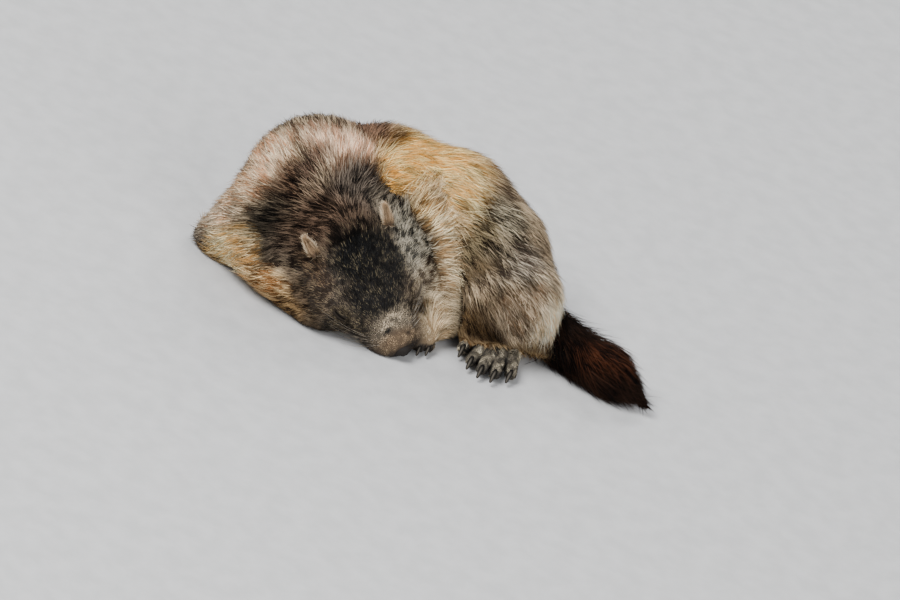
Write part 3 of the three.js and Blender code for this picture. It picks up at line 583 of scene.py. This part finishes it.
def coat_sizes(points, region):
    """Length, width and lift of the tufts, and how many stand on a square millimetre."""
    h = to_head(points)
    back = np.maximum(step(-h[:, 0], -24, 36), step(np.abs(h[:, 1]), 38, 62))
    back = np.maximum(back, 0.75 * beside_muzzle(h))
    front = np.stack([4.2 + 12.8 * back, 0.56 + 0.24 * back, 0.30 + 0.12 * back, 2.7 - 1.35 * back])
    nose = step(h[:, 0], 58, 80) * (1 - step(np.abs(h[:, 1]), 22, 32))
    front = front + nose * (np.array([2.4, 0.38, 0.22, 4.2])[:, None] - front)
    trunk = np.tile([[18.0], [0.8], [0.42], [1.3]], len(points))
    over_foot = (1 - step(points[:, 2], 20, 36)) * step(-points[:, 1], 4, 18) * step(points[:, 0], 50, 64)
    trunk[0] *= 1 - 0.55 * over_foot
    arms = np.tile([[11.0], [0.8], [0.30], [1.3]], len(points))
    heel = 1 - step(on_foot(points)[2], 0.3, 0.65)
    feet = np.stack([2.9 + 4.1 * heel, 0.42 + 0.12 * heel, 0.3 + 0.1 * heel, 4.0 - 1.4 * heel])
    tip = step(points[:, 0], 160, 212)
    tail = np.stack([28 - tip, 0.9 - 0.1 * tip, 0.5 - 0.34 * tip, 1.5 + 0.6 * tip])
    return np.stack([front, trunk, arms, feet, tail])[region, :, np.arange(len(points))].T


def spread(corners, triangles, number, *others):
    """Places at random on triangles, number of them on each one, with other corner values there."""
    face = np.repeat(np.arange(len(triangles)), number)
    u, v = np.sqrt(random.random(len(face))), random.random(len(face))
    share = np.stack([1 - u, u * (1 - v), u * v], axis=1)[:, :, None]
    return [(values[face] * share).sum(1) for values in (corners[triangles], *others)]


def roots_on_skin():
    """Places spread over the skin by the density wanted there, with the slope and map at each."""
    tri, flat = [np.concatenate([one[:, [0, 1, 2]], one[:, [0, 2, 3]]]) for one in (skin_quads, skin_map)]
    a, b, c = skin_corners[tri].transpose(1, 0, 2)
    area = 0.5 * np.linalg.norm(np.cross(b - a, c - a), axis=1)
    middle = (a + b + c) / 3
    density = coat_sizes(middle, region_of(middle))[3]
    under = (middle[:, 2] < 5) & (skin_out[tri[:, 0], 2] < -0.8)
    wanted = area * density * (1 - under)
    number = np.floor(wanted + random.random(len(wanted))).astype(int)
    place, out, flat = spread(skin_corners, tri, number, skin_out[tri], flat)
    return place, unit(out), flat


def blades(root, out, way, length, width, lift, flat, hues, rings=(0, 0.45, 1), hug=True):
    """Closed tapered blades. A ring at share u of the length stands at root + way * length * u, at the
    height lift * length * (u - 0.35 u u) over the skin, which it follows where it hugs it. Its three
    corners lie half a width to each side and a third of a width up. The last ring is one point."""
    n = len(root)
    way = unit(way - (way * out).sum(1, keepdims=True) * out)
    side = np.cross(way, out)
    swirl = mottle(root, 13) - 0.5
    swirl_fine = mottle(root + 200, 5) - 0.5
    bend = (0.3 * swirl + 0.25 * swirl_fine + 0.16 * random.standard_normal(n)) * length
    clump = 0.3 * length * (mottle(root + 400, 5) - 0.5) + 0.12 * length * random.standard_normal(n)
    centres = []
    for u in rings:
        centre = root + way * (length * u)[:, None] + side * (bend * u * u)[:, None]
        height = lift * length * (u - 0.35 * u * u) + clump * u * u * 0.5
        if u == 0:
            centre = root - out * COAT_SINK
        elif hug:
            normal = unit(sampled(skin_slopes, centre))
            rise = np.maximum(height, 0.3) - sampled(hide_values, centre)
            centre = centre + normal * rise[:, None] * COAT_HUG
        else:
            centre = centre + out * height[:, None]
        centre[:, 2] = np.maximum(centre[:, 2], 0.5 + 0.4 * u)
        centres.append(centre)
    corners, colours, flats = [], [], []
    for m, u in enumerate(rings):
        before, after = centres[max(m - 1, 0)], centres[min(m + 1, len(rings) - 1)]
        ahead = unit(after - before)
        up = unit(out - (out * ahead).sum(1, keepdims=True) * ahead)
        across = np.cross(ahead, up)
        half = (width * (0.6 + 0.9 * u - 1.5 * u * u) / 2)[:, None]
        if m == len(rings) - 1:
            ring = centres[m][:, None]
            spots = [(0, 0.5)]
        else:
            left, right = centres[m] - across * half, centres[m] + across * half
            ring = np.stack([left, centres[m] + up * half * 0.7, right], axis=1)
            spots = [(-0.5, u - 0.5), (0, u - 0.5), (0.5, u - 0.5)]
        corners.append(ring)
        shade = u if len(rings) > 2 else 0.45 + 0.55 * u
        colours.append(np.repeat(hues(shade)[:, None], ring.shape[1], axis=1))
        flats.append(flat[:, None] + 0.003 * np.array(spots)[None])
    corners = np.concatenate(corners, axis=1)
    corners[..., 2] = np.maximum(corners[..., 2], HAIR_OVER_FLOOR)
    faces = [(0, 2, 1)]
    for m in range(len(rings) - 2):
        for k in range(3):
            a, b = 3 * m + k, 3 * m + (k + 1) % 3
            faces += [(a, b, b + 3), (a, b + 3, a + 3)]
    last = 3 * (len(rings) - 2)
    faces += [(last + k, last + (k + 1) % 3, last + 3) for k in range(3)]
    size = corners.shape[1]
    faces = (np.array(faces)[None] + size * np.arange(n)[:, None, None]).reshape(-1, 3)
    return (corners.reshape(-1, 3), faces, np.concatenate(flats, axis=1).reshape(-1, 2),
            np.concatenate(colours, axis=1).reshape(-1, 3))


coat_material, feed, place, markings = finish_of("coat", specular=0.06)
strand = place.noise(900, 2.0)
brighter = markings.node("ShaderNodeHueSaturation", Color=markings, Value=1.25, Saturation=1.02)
feed("Base Color", strand.range(0.3, 0.7).mix(markings, brighter))
feed("Roughness", strand.range(0.3, 0.7, 0.65, 0.9))

root, root_out, root_flat = roots_on_skin()
root_region = region_of(root)
root_way = stroke(root, root_region)
root_length, root_width, root_lift, _ = coat_sizes(root, root_region)
dark, pale = coat_hues(root + (0.6 * root_length)[:, None] * root_way, root_region)
blend = 0.32 * random.random(len(root)) + 0.54 * mottle(root + 70, 3) + 0.14 * mottle(root, 12)
share = 1.2 * step(blend, 0.39, 0.61)
speckled = (root_region == 0) & (random.random(len(root)) < 0.22 * (1 - step(root_length, 4.3, 12)))
pale[speckled] += 0.26 * (linear(190, 174, 138) - pale[speckled])
glow = 0.85 + 0.3 * random.random(len(root))

# Guard hairs: clumps of darker tufts in the long coat of the body, which part its pale tips.
guard = step(mottle(root + 150, 4), 0.57, 0.72) > random.random(len(root))
guard = guard & (root_region < 2) & (root_length > 11)
dark[guard] *= 0.35
share[guard] *= 0.3


def hair_hues(dark, pale, share, glow):
    """Hue of each hair at a share u of its length, as a function of u: dark at the root, then paler towards
    the tip by the hair's own share of pale, and halved at the root by painted shade that lifts over the
    first 0.4 of the length."""
    def hues(u):
        hue = dark + (share * (0.25 + 0.75 * u))[:, None] * (pale - dark)
        # painted shade: the hue is halved at the root and comes back to full over the first 0.4 of the hair
        return hue * (glow * (0.5 + 0.5 * step(u, 0, 0.4)))[:, None]
    return hues


# Zones of the coat: slot, rings of a blade, and which roots belong to it.
SHORT = (0, 1)
LONG = (0, 0.45, 1)
SHORT_BROADER = 1.5
NECK_FROM, MUZZLE_FROM = -24, 62
LONG_FROM = 7.5
FLANK_FROM, HAUNCH_FROM = -40, 42
root_ahead = to_head(root)[:, 0]
front_roots, trunk_roots = root_region == 0, root_region == 1
neck_roots = front_roots & (root_ahead <= NECK_FROM)
muzzle_roots = front_roots & (root_ahead > MUZZLE_FROM)
face_roots = front_roots & ~neck_roots & ~muzzle_roots
ZONES = {
    "muzzle_fur": ("muzzle_fur", SHORT, muzzle_roots),
    "crown_fur": ("crown_fur", SHORT, face_roots & (root_length < LONG_FROM)),
    "cheek_fur": ("coat", LONG, face_roots & (root_length >= LONG_FROM)),
    "nape_fur": ("coat", LONG, neck_roots | (trunk_roots & (root[:, 0] < FLANK_FROM))),
    "flank_fur": ("flank_fur", LONG, trunk_roots & (root[:, 0] >= FLANK_FROM) & (root[:, 0] < HAUNCH_FROM)),
    "haunch_fur": ("haunch_fur", LONG, trunk_roots & (root[:, 0] >= HAUNCH_FROM)),
    "arm_fur": ("arm_fur", LONG, root_region == 2),
    "foot_fur": ("foot_fur", SHORT, root_region == 3),
    "tail_fur": ("tail_fur", LONG, root_region == 4),
}
PIECE_TRIANGLES = 195000
for name, (slot, rings, zone) in ZONES.items():
    chosen = np.flatnonzero(zone)
    blade_triangles = 6 * len(rings) - 8
    chunks = math.ceil(len(chosen) * blade_triangles / PIECE_TRIANGLES)
    for n, part in enumerate(np.array_split(chosen, chunks)):
        corners, faces, flat, colours = blades(
            root[part], root_out[part], root_way[part],
            root_length[part] * (0.75 + 0.5 * random.random(len(part))),
            root_width[part] * (0.75 + 0.5 * random.random(len(part))) 
            * (SHORT_BROADER if rings == SHORT else 1),
            root_lift[part] * (0.4 + 1.1 * random.random(len(part))), root_flat[part],
            hair_hues(dark[part], pale[part], share[part], glow[part]), rings)
        piece(f"{name}_{n + 1}", corners, faces, coat_material, flat, colours)

# Ears: two short round leaves laid back on the neck, each a bent sheet of gristle that is hollow on its
# outer side, with a coat of fine short hair of its own, its tips painted darker in the hollow as shade. Soft
# and matt.
EARS = {"left_ear": (1, (2, 25, 0)), "right_ear": (-1, (0, -29.5, 0))}
EAR_LENGTH = 15
EAR_WIDTH = 6.6
EAR_ROLL = 0.25
EAR_RISE = -0.22
EAR_HAIRS = 4.5
EAR_ROOT_HUE = linear(124, 102, 78)
EAR_RIM_HUE = linear(214, 196, 166)
EAR_TIP_HUE = linear(250, 236, 208)
EAR_HOLLOW_SHADE_HUE = linear(176, 150, 120)
FINE_WIDTH = 0.4
FINE_LIFT = 0.3
FINE_MAP = 60


def seat(ahead, side, up, way, rise):
    """The place at the tips of the coat nearest to a point of the head, raised by rise, with axes of
    its own as columns: along the way given, to its left, out of the skin."""
    place = (HEAD_PLACE + HEAD_AXES @ (ahead, side, up))[None].astype(np.float32)
    for _ in range(8):
        place = place - slope(front_tips, place) * front_tips(place)[:, None]
    out = slope(front_tips, place)[0].astype(float)
    left = unit(np.cross(out, HEAD_AXES @ way))
    return place[0] + rise * out, np.stack([np.cross(left, out), left, out], axis=1)


def loft(rings):
    """Closed surface through rings of corners, with a fan of triangles over each end."""
    count, around = rings.shape[:2]
    m, k = np.meshgrid(np.arange(count - 1), np.arange(around), indexing="ij")
    a, b = m * around + k, m * around + (k + 1) % around
    sides = np.stack([a, b, b + around, a, b + around, a + around], axis=-1).reshape(-1, 3)
    k = np.arange(around)
    first, last = count * around, count * around + 1
    ends = [np.stack([np.full(around, first), (k + 1) % around, k], axis=1),
            np.stack([np.full(around, last), first - around + k, first - around + (k + 1) % around], axis=1)]
    corners = np.concatenate([rings.reshape(-1, 3), [rings[0].mean(0)], [rings[-1].mean(0)]])
    return corners, np.concatenate([sides, *ends])


def hairs_on(corners, faces, density, keep=lambda out: 1):
    """Hair roots at random on the triangles kept, density of them to a square millimetre, and the way
    out of the surface at each."""
    corner = corners[faces]
    normal = np.cross(corner[:, 1] - corner[:, 0], corner[:, 2] - corner[:, 0])
    number = np.linalg.norm(normal, axis=1) / 2 * density + random.random(len(faces))
    out = unit(normal)
    number = np.floor(number).astype(int) * keep(out)
    return spread(corners, faces, number, np.repeat(out[:, None], 3, axis=1))


def fine_fur(name, root, out, way, length, local, dark, pale, share):
    """Piece of fine short hair that stands on another piece, mapped by the places on that piece."""
    ones = np.ones(len(root))
    corners, faces, flat, colours = blades(
        root, out, way, length, FINE_WIDTH * ones, FINE_LIFT * ones, local[:, :2] / FINE_MAP + 0.5,
        hair_hues(dark, pale, share, ones), hug=False)
    piece(name, corners, faces, coat_material, flat, colours)


def ear_leaf(side, spot):
    """Leaf of the ear, t along it and s across: half width w (1 - (2t - 1) ^ 2) ^ 0.45, cupped by
    3.4 s s at its rims, and thicker there."""
    t = np.linspace(0.02, 0.995, 26)[:, None]
    s = np.linspace(-1, 1, 17)[None]
    half = EAR_WIDTH / 2 * (1 - (2 * t - 1) ** 2) ** 0.45 * (1.15 - 0.35 * t)
    along = EAR_LENGTH * t - 3 + 0 * s
    across = half * s * (1 - 0.12 * s * s)
    cup = 3.4 * s * s * np.sin(math.pi * t ** 0.8) ** 0.6 - 1.6 * np.sin(math.pi * t)
    thick = 0.9 + 0.5 * s * s
    under = np.stack([along, across, cup - 0.4], axis=-1)
    over = np.stack([along, across * (1 - 0.1 * s * s), cup - 0.4 + thick], axis=-1)
    rings = np.concatenate([under, over[:, ::-1]], axis=1)
    lean = np.array(Matrix.Rotation(-side * EAR_ROLL, 3, "X") @ Matrix.Rotation(EAR_RISE, 3, "Y"))
    place, axes = seat(*spot, (-1, side * 0.12, 0), 0.6)
    corners, faces = loft(rings @ lean.T @ axes.T + place)
    return corners, faces, axes @ lean, place


ear_material, feed, place, _ = finish_of("ear skin", specular=0.3)
grain = place.noise(700, 3.0)
feed("Base Color", grain.range(0.35, 0.65).mix((*linear(60, 46, 36), 1), (*linear(92, 72, 56), 1)))
feed("Roughness", grain.range(0.3, 0.7, 0.6, 0.8))
for name, (side, spot) in EARS.items():
    corners, faces, axes, place = ear_leaf(side, spot)
    leaf = piece(name + "_leaf", corners, faces, ear_material)
    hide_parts(name)
    hair_root, hair_out = hairs_on(corners, faces, EAR_HAIRS)
    local = (hair_root - place) @ axes
    count = len(hair_root)
    rim = step(np.abs(local[:, 1]), 2.0, 4.4)
    fan = (0.35 * local[:, 1] / 5)[:, None] * axes[:, 1]
    ear_way = axes[:, 0] + fan + 0.25 * random.standard_normal((count, 3))
    open_side = ((hair_out @ axes[:, 2]) > 0) * (1 - rim)
    ear_dark = EAR_ROOT_HUE + (rim * 0.6)[:, None] * (EAR_RIM_HUE - EAR_ROOT_HUE)
    # painted shade: the tips of the hair in the hollow of the ear are darker
    ear_pale = EAR_TIP_HUE - open_side[:, None] * (EAR_TIP_HUE - EAR_HOLLOW_SHADE_HUE)
    fine_fur(name + "_fur", hair_root, hair_out, ear_way, 4.2 + 2.6 * random.random(count),
             local, ear_dark, ear_pale, random.random(count))

# Eyelids: each shut eye is one low dome of skin, parted by the groove between its lids, with dark bare rims
# and a coat of very short hair. The groove is painted near black as shade in the slit.
EYES = {"left_eye": (1, (56, 32, -5)), "right_eye": (-1, (48, -30, -4))}
LID_RADII = np.array([7.5, 5.0, 2.2])
LID_HAIRS = 4.8
LID_RIM_AND_SHADE_HUE = linear(14, 10, 8)
LID_SPECK_HUE = linear(150, 136, 108)


def circle(corners):
    """Angles of that many corners, evenly round a full turn."""
    return np.linspace(0, 2 * math.pi, corners, endpoint=False)[None]


def ball(low, high, rows, corners):
    """Rings of a ball of radius 1, from the angle low to high over its middle, in half turns."""
    high = np.linspace(low, high, rows)[:, None] * math.pi
    around = circle(corners)
    flat = np.cos(high)
    return np.stack([flat * np.cos(around), flat * np.sin(around), np.sin(high) + 0 * around], axis=-1)


def lid_line(x, side):
    """Across the eye, where the lids meet: a shallow bow."""
    return side * (1.3 - 0.035 * x * x)


lid_material, feed, place, markings = finish_of("eyelid", specular=0.12)
crease = place.noise(900, 3.0)
feed("Base Color", markings)
feed("Roughness", crease.range(0.3, 0.7, 0.6, 0.8))
feed("Normal", crease.bump(0.35, 0.0004))
for name, (side, spot) in EYES.items():
    place, axes = seat(*spot, (0.75, -side * 0.6, -0.3), -1.1)
    local = ball(-0.45, 0.5, 44, 72)[:-1] * LID_RADII
    off = local[..., 1] - lid_line(local[..., 0], side)
    within = step(7.0 - np.abs(local[..., 0]), 0, 2.5) * (local[..., 2] > 0)
    groove = np.exp(-(off / 0.7) ** 2) * within
    rims = np.exp(-((np.abs(off) - 1.5) / 0.6) ** 2) * within
    local[..., 2] += 0.5 * rims - 1.4 * groove
    corners, faces = loft(local @ axes.T + place)
    # dark bare rims, and the groove painted near black as shade in the slit between the lids
    bare = np.clip(np.append((groove + 0.6 * rims).ravel(), [0, 0]), 0, 1)
    dark_here, pale_here = coat_hues(corners, np.zeros(len(corners), dtype=int))
    hue = 0.8 * dark_here + 0.2 * pale_here
    lids = piece(name + "_lids", corners, faces, lid_material,
                 colours=hue + bare[:, None] * (LID_RIM_AND_SHADE_HUE - hue))
    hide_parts(name)
    haired = bare[faces].max(1) < 0.35
    hair_root, hair_out = hairs_on(corners, faces, LID_HAIRS, lambda out: haired & (out @ axes[:, 2] > 0))
    count = len(hair_root)
    on_front = np.zeros(count, dtype=int)
    hair_dark, hair_pale = coat_hues(hair_root, on_front)
    hair_pale[random.random(count) < 0.3] = LID_SPECK_HUE
    fine_fur(name + "_fur", hair_root, hair_out, stroke(hair_root, on_front),
             2.4 + random.random(count), (hair_root - place) @ axes, hair_dark, hair_pale,
             1.2 * random.random(count))

# Nose: a bare moist pad at the end of the muzzle, with two comma-shaped nostrils and a groove down its
# middle. Dark, finely pebbled skin; the nostrils, and faintly the groove, are painted darker as shade in
# their dents.
NOSE_CENTRE = np.array([91.0, 4, -12])
NOSE_RADII = np.array([5.2, 6.6, 5.0])
NOSTRIL_ASIDE = 3.4
NOSTRIL_WIDTH = 1.15
NOSTRIL_HEIGHT = 1.7
GROOVE_WIDTH = 0.45
NOSE_HUE = linear(17, 13, 11)
NOSTRIL_SHADE_HUE = linear(4, 3, 3)
local = ball(-0.49, 0.49, 56, 84) * NOSE_RADII
in_front = local[..., 0] > 0
aside = np.abs(local[..., 1]) - NOSTRIL_ASIDE
turned = local[..., 2] + 0.5 + 0.25 * aside
nostril = np.exp(-(aside / NOSTRIL_WIDTH) ** 2 - (turned / NOSTRIL_HEIGHT) ** 2) * in_front
groove = np.exp(-(local[..., 1] / GROOVE_WIDTH) ** 2) * step(-local[..., 2], -1.5, 0.5) * in_front
local = local * (1 - (0.42 * nostril + 0.1 * groove)[..., None])
corners, faces = loft(HEAD_PLACE + (local + NOSE_CENTRE) @ HEAD_AXES.T)
# painted shade: darker in the nostrils and, at 0.4, in the groove
shade = np.append((nostril + 0.4 * groove).ravel(), [0, 0])[:, None]
nose_material, feed, place, markings = finish_of("nose skin", specular=0.22)
pebble = place.noise(1500, 2.0)
feed("Base Color", pebble.range(0.35, 0.65, 0.0, 0.3).mix(markings, (*linear(46, 36, 30), 1)))
feed("Roughness", pebble.range(0.3, 0.7, 0.55, 0.75))
feed("Normal", pebble.bump(0.4, 0.0003))
pad = piece("nose_pad", corners, faces, nose_material,
            colours=NOSE_HUE + np.clip(shade, 0, 1) * (NOSTRIL_SHADE_HUE - NOSE_HUE))
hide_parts("nose")

# Claws: one bent horn on each toe, oval in section, that comes out of the top of the toe and curves down to
# the floor. Smooth dark horn, a little paler at its tip, with a painted highlight along the top of its
# ridge.
CLAW_LENGTH = 1.6
CLAW_THICK = 0.4
CLAW_OVER_FLOOR = 0.3
CLAW_HUE = linear(6, 5, 5)
CLAW_TIP_AND_HIGHLIGHT_HUE = linear(150, 140, 124)
claw_material, feed, place, markings = finish_of("claw horn", specular=0.15)
grain = place.noise(800, 3.0)
feed("Base Color", markings)
feed("Roughness", grain.range(0.3, 0.7, 0.5, 0.7))
for name in FEET:
    heel, axes = foot_axes(name)
    toe = FEET[name][6]
    for n, tip in enumerate(toes(name)[0]):
        t = np.linspace(0, 1, 13)[:, None]
        around = circle(12)
        thick = toe * CLAW_THICK * (1 - t) ** 0.3 + 0.2
        long = toe * CLAW_LENGTH
        ahead = tip[0] + toe * 0.2 + long * t + 0 * around
        across = tip[1] + 0.8 * thick * np.cos(around)
        above = tip[2] + toe * 0.35 - long * 0.5 * t * t + thick * np.sin(around)
        rings = np.stack([ahead, across, np.maximum(above, CLAW_OVER_FLOOR)], axis=-1)
        corners, faces = loft(heel + rings @ axes.T)
        # painted highlight: a pale stripe along the top of the claw, and the horn's own paler tip
        ridge_highlight = np.maximum(np.sin(around), 0) ** 12 * step(t, 0.15, 0.5)
        pale_share = np.append((0.05 * t ** 3 + 0.2 * ridge_highlight).ravel(), [0, 0.05])[:, None]
        hue = CLAW_HUE + pale_share * (CLAW_TIP_AND_HIGHLIGHT_HUE - CLAW_HUE)
        horn = piece(f"{name}_horn_{n + 1}", corners, faces, claw_material, colours=hue)
        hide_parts(f"{name}_claw_{n + 1}")

# Whiskers: stiff smooth hairs in rows on each side of the muzzle, that curve back. Each is a
# five-sided tube drawn out to a point, rooted in the skin of the muzzle.
WHISKERS = 11
WHISKERS_IN_ROW = 4
WHISKER_RADIUS = 0.13
whisker_root, whisker_way, whisker_length = [], [], []
for side in (1, -1):
    for n in range(WHISKERS):
        row, place_in_row = divmod(n, WHISKERS_IN_ROW)
        spot = (80 - 5 * place_in_row - 2 * row, side * (11 + 2 * place_in_row), -10 - 4.5 * row)
        whisker_root.append(seat(*spot, (1, 0, 0), -0.5)[0])
        whisker_way.append(HEAD_AXES @ (-0.25 - 0.2 * place_in_row, side, 0.25 - 0.1 * row))
        whisker_length.append(16 + 5.5 * place_in_row + 4 * random.random())
whisker_root, whisker_way = np.array(whisker_root), unit(np.array(whisker_way))
whisker_length = np.array(whisker_length)
rings = []
for u in np.linspace(0, 1, 9):
    centre = whisker_root + whisker_way * (whisker_length * u)[:, None]
    centre = centre - HEAD_FORWARD * (0.35 * whisker_length * u * u)[:, None]
    centre[:, 2] = np.maximum(centre[:, 2], 1)
    around = circle(5)[..., None]
    across = unit(np.cross(whisker_way, HEAD_FORWARD))
    up = np.cross(whisker_way, across)
    thick = WHISKER_RADIUS * (1 - u) + 0.03
    rings.append(centre[:, None] + thick * (np.cos(around) * across[:, None] + np.sin(around) * up[:, None]))
rings = np.stack(rings, axis=1)
made = [loft(one) for one in rings]
corners = np.concatenate([one[0] for one in made])
faces = np.concatenate([one[1] + n * len(made[0][0]) for n, one in enumerate(made)])
whisker_material, feed, place, _ = finish_of("whisker", specular=0.5)
grain = place.noise(300, 2.0)
feed("Base Color", grain.range(0.4, 0.6).mix((*linear(40, 33, 28), 1), (*linear(150, 138, 120), 1)))
feed("Roughness", grain.range(0.3, 0.7, 0.3, 0.45))
piece("whiskers", corners, faces, whisker_material)

# Floor: a plain pale sheet of matt paint under the animal, one square face that belongs to the
# stage.
FLOOR_HALF = 4
stage_mesh = bpy.data.meshes.new("floor")
floor_corners = [(x * FLOOR_HALF, y * FLOOR_HALF, 0) for x, y in ((-1, -1), (1, -1), (1, 1), (-1, 1))]
stage_mesh.from_pydata(floor_corners, [], [(0, 1, 2, 3)])
floor_material, feed, place, _ = finish_of("floor", specular=0.2)
speck = place.noise(60, 4.0)
feed("Base Color", speck.range(0.35, 0.65).mix((0.44, 0.44, 0.44, 1), (0.49, 0.49, 0.49, 1)))
feed("Roughness", speck.range(0.3, 0.7, 0.8, 0.9))
stage_mesh.materials.append(floor_material)
floor = bpy.data.objects.new("floor", stage_mesh)
bpy.context.collection.objects.link(floor)

# Camera: looks down at the crown of the head from far off through a long lens, and is rolled, so
# that the body runs down to the right. PIXEL is what a pixel of the picture spans, in millimetres.
CAMERA_TILT = math.radians(30)
CAMERA_ROLL = math.radians(22)
CAMERA_AWAY = 5550
LENS_LENGTH = 300
SENSOR_WIDTH = 36
PIXEL = 0.74
PICTURE_CENTRE = (450, 300)
ORIGIN_IN_PICTURE = (379.7, 293.6)


def stand(thing, across, up, out, spot):
    """Put a thing at a spot in metres, turned so that its own axes point across, up and out."""
    turn = np.eye(4)
    turn[:3] = np.stack([across, up, out, spot], axis=1)
    thing.matrix_world = Matrix(turn.tolist())


towards_camera = np.array([0, -math.cos(CAMERA_TILT), math.sin(CAMERA_TILT)])
level = np.array([1.0, 0, 0])
upright = np.array([0, math.sin(CAMERA_TILT), math.cos(CAMERA_TILT)])
image_right = math.cos(CAMERA_ROLL) * level + math.sin(CAMERA_ROLL) * upright
image_up = -math.sin(CAMERA_ROLL) * level + math.cos(CAMERA_ROLL) * upright
right_of_origin, below_origin = np.subtract(PICTURE_CENTRE, ORIGIN_IN_PICTURE)
centre = PIXEL * (right_of_origin * image_right - below_origin * image_up)
eye = centre + CAMERA_AWAY * towards_camera
lens = bpy.data.cameras.new("camera")
lens.lens = LENS_LENGTH
lens.sensor_width = SENSOR_WIDTH
lens.clip_end = 50
camera = bpy.data.objects.new("camera", lens)
bpy.context.collection.objects.link(camera)
stand(camera, image_right, image_up, towards_camera, eye * 0.001)
bpy.context.scene.camera = camera

# Light: three large round lamps that face the origin, the key at the upper left, a fill at the right
# and a rim behind, under an even pale sky. Each is given by its place, width and power.
LAMPS = {"key": ((-1.4, -1.2, 2.4), 1.6, 148), "fill": ((1.8, -1.6, 1.4), 2.2, 54),
         "rim": ((0.4, 2.2, 1.8), 1.8, 54)}
SKY_HUE = (0.92, 0.95, 1.0, 1)
SKY_STRENGTH = 0.46
for name, (spot, size, power) in LAMPS.items():
    lamp = bpy.data.lights.new(name, "AREA")
    lamp.shape = "DISK"
    lamp.size = size
    lamp.energy = power
    light = bpy.data.objects.new(name, lamp)
    bpy.context.collection.objects.link(light)
    away = unit(np.array(spot))
    beside = unit(np.cross((0, 0, 1), away))
    stand(light, beside, np.cross(away, beside), away, spot)
world = bpy.data.worlds.new("room")
world.use_nodes = True
sky = world.node_tree.nodes["Background"].inputs
sky["Color"].default_value = SKY_HUE
sky["Strength"].default_value = SKY_STRENGTH
bpy.context.scene.world = world
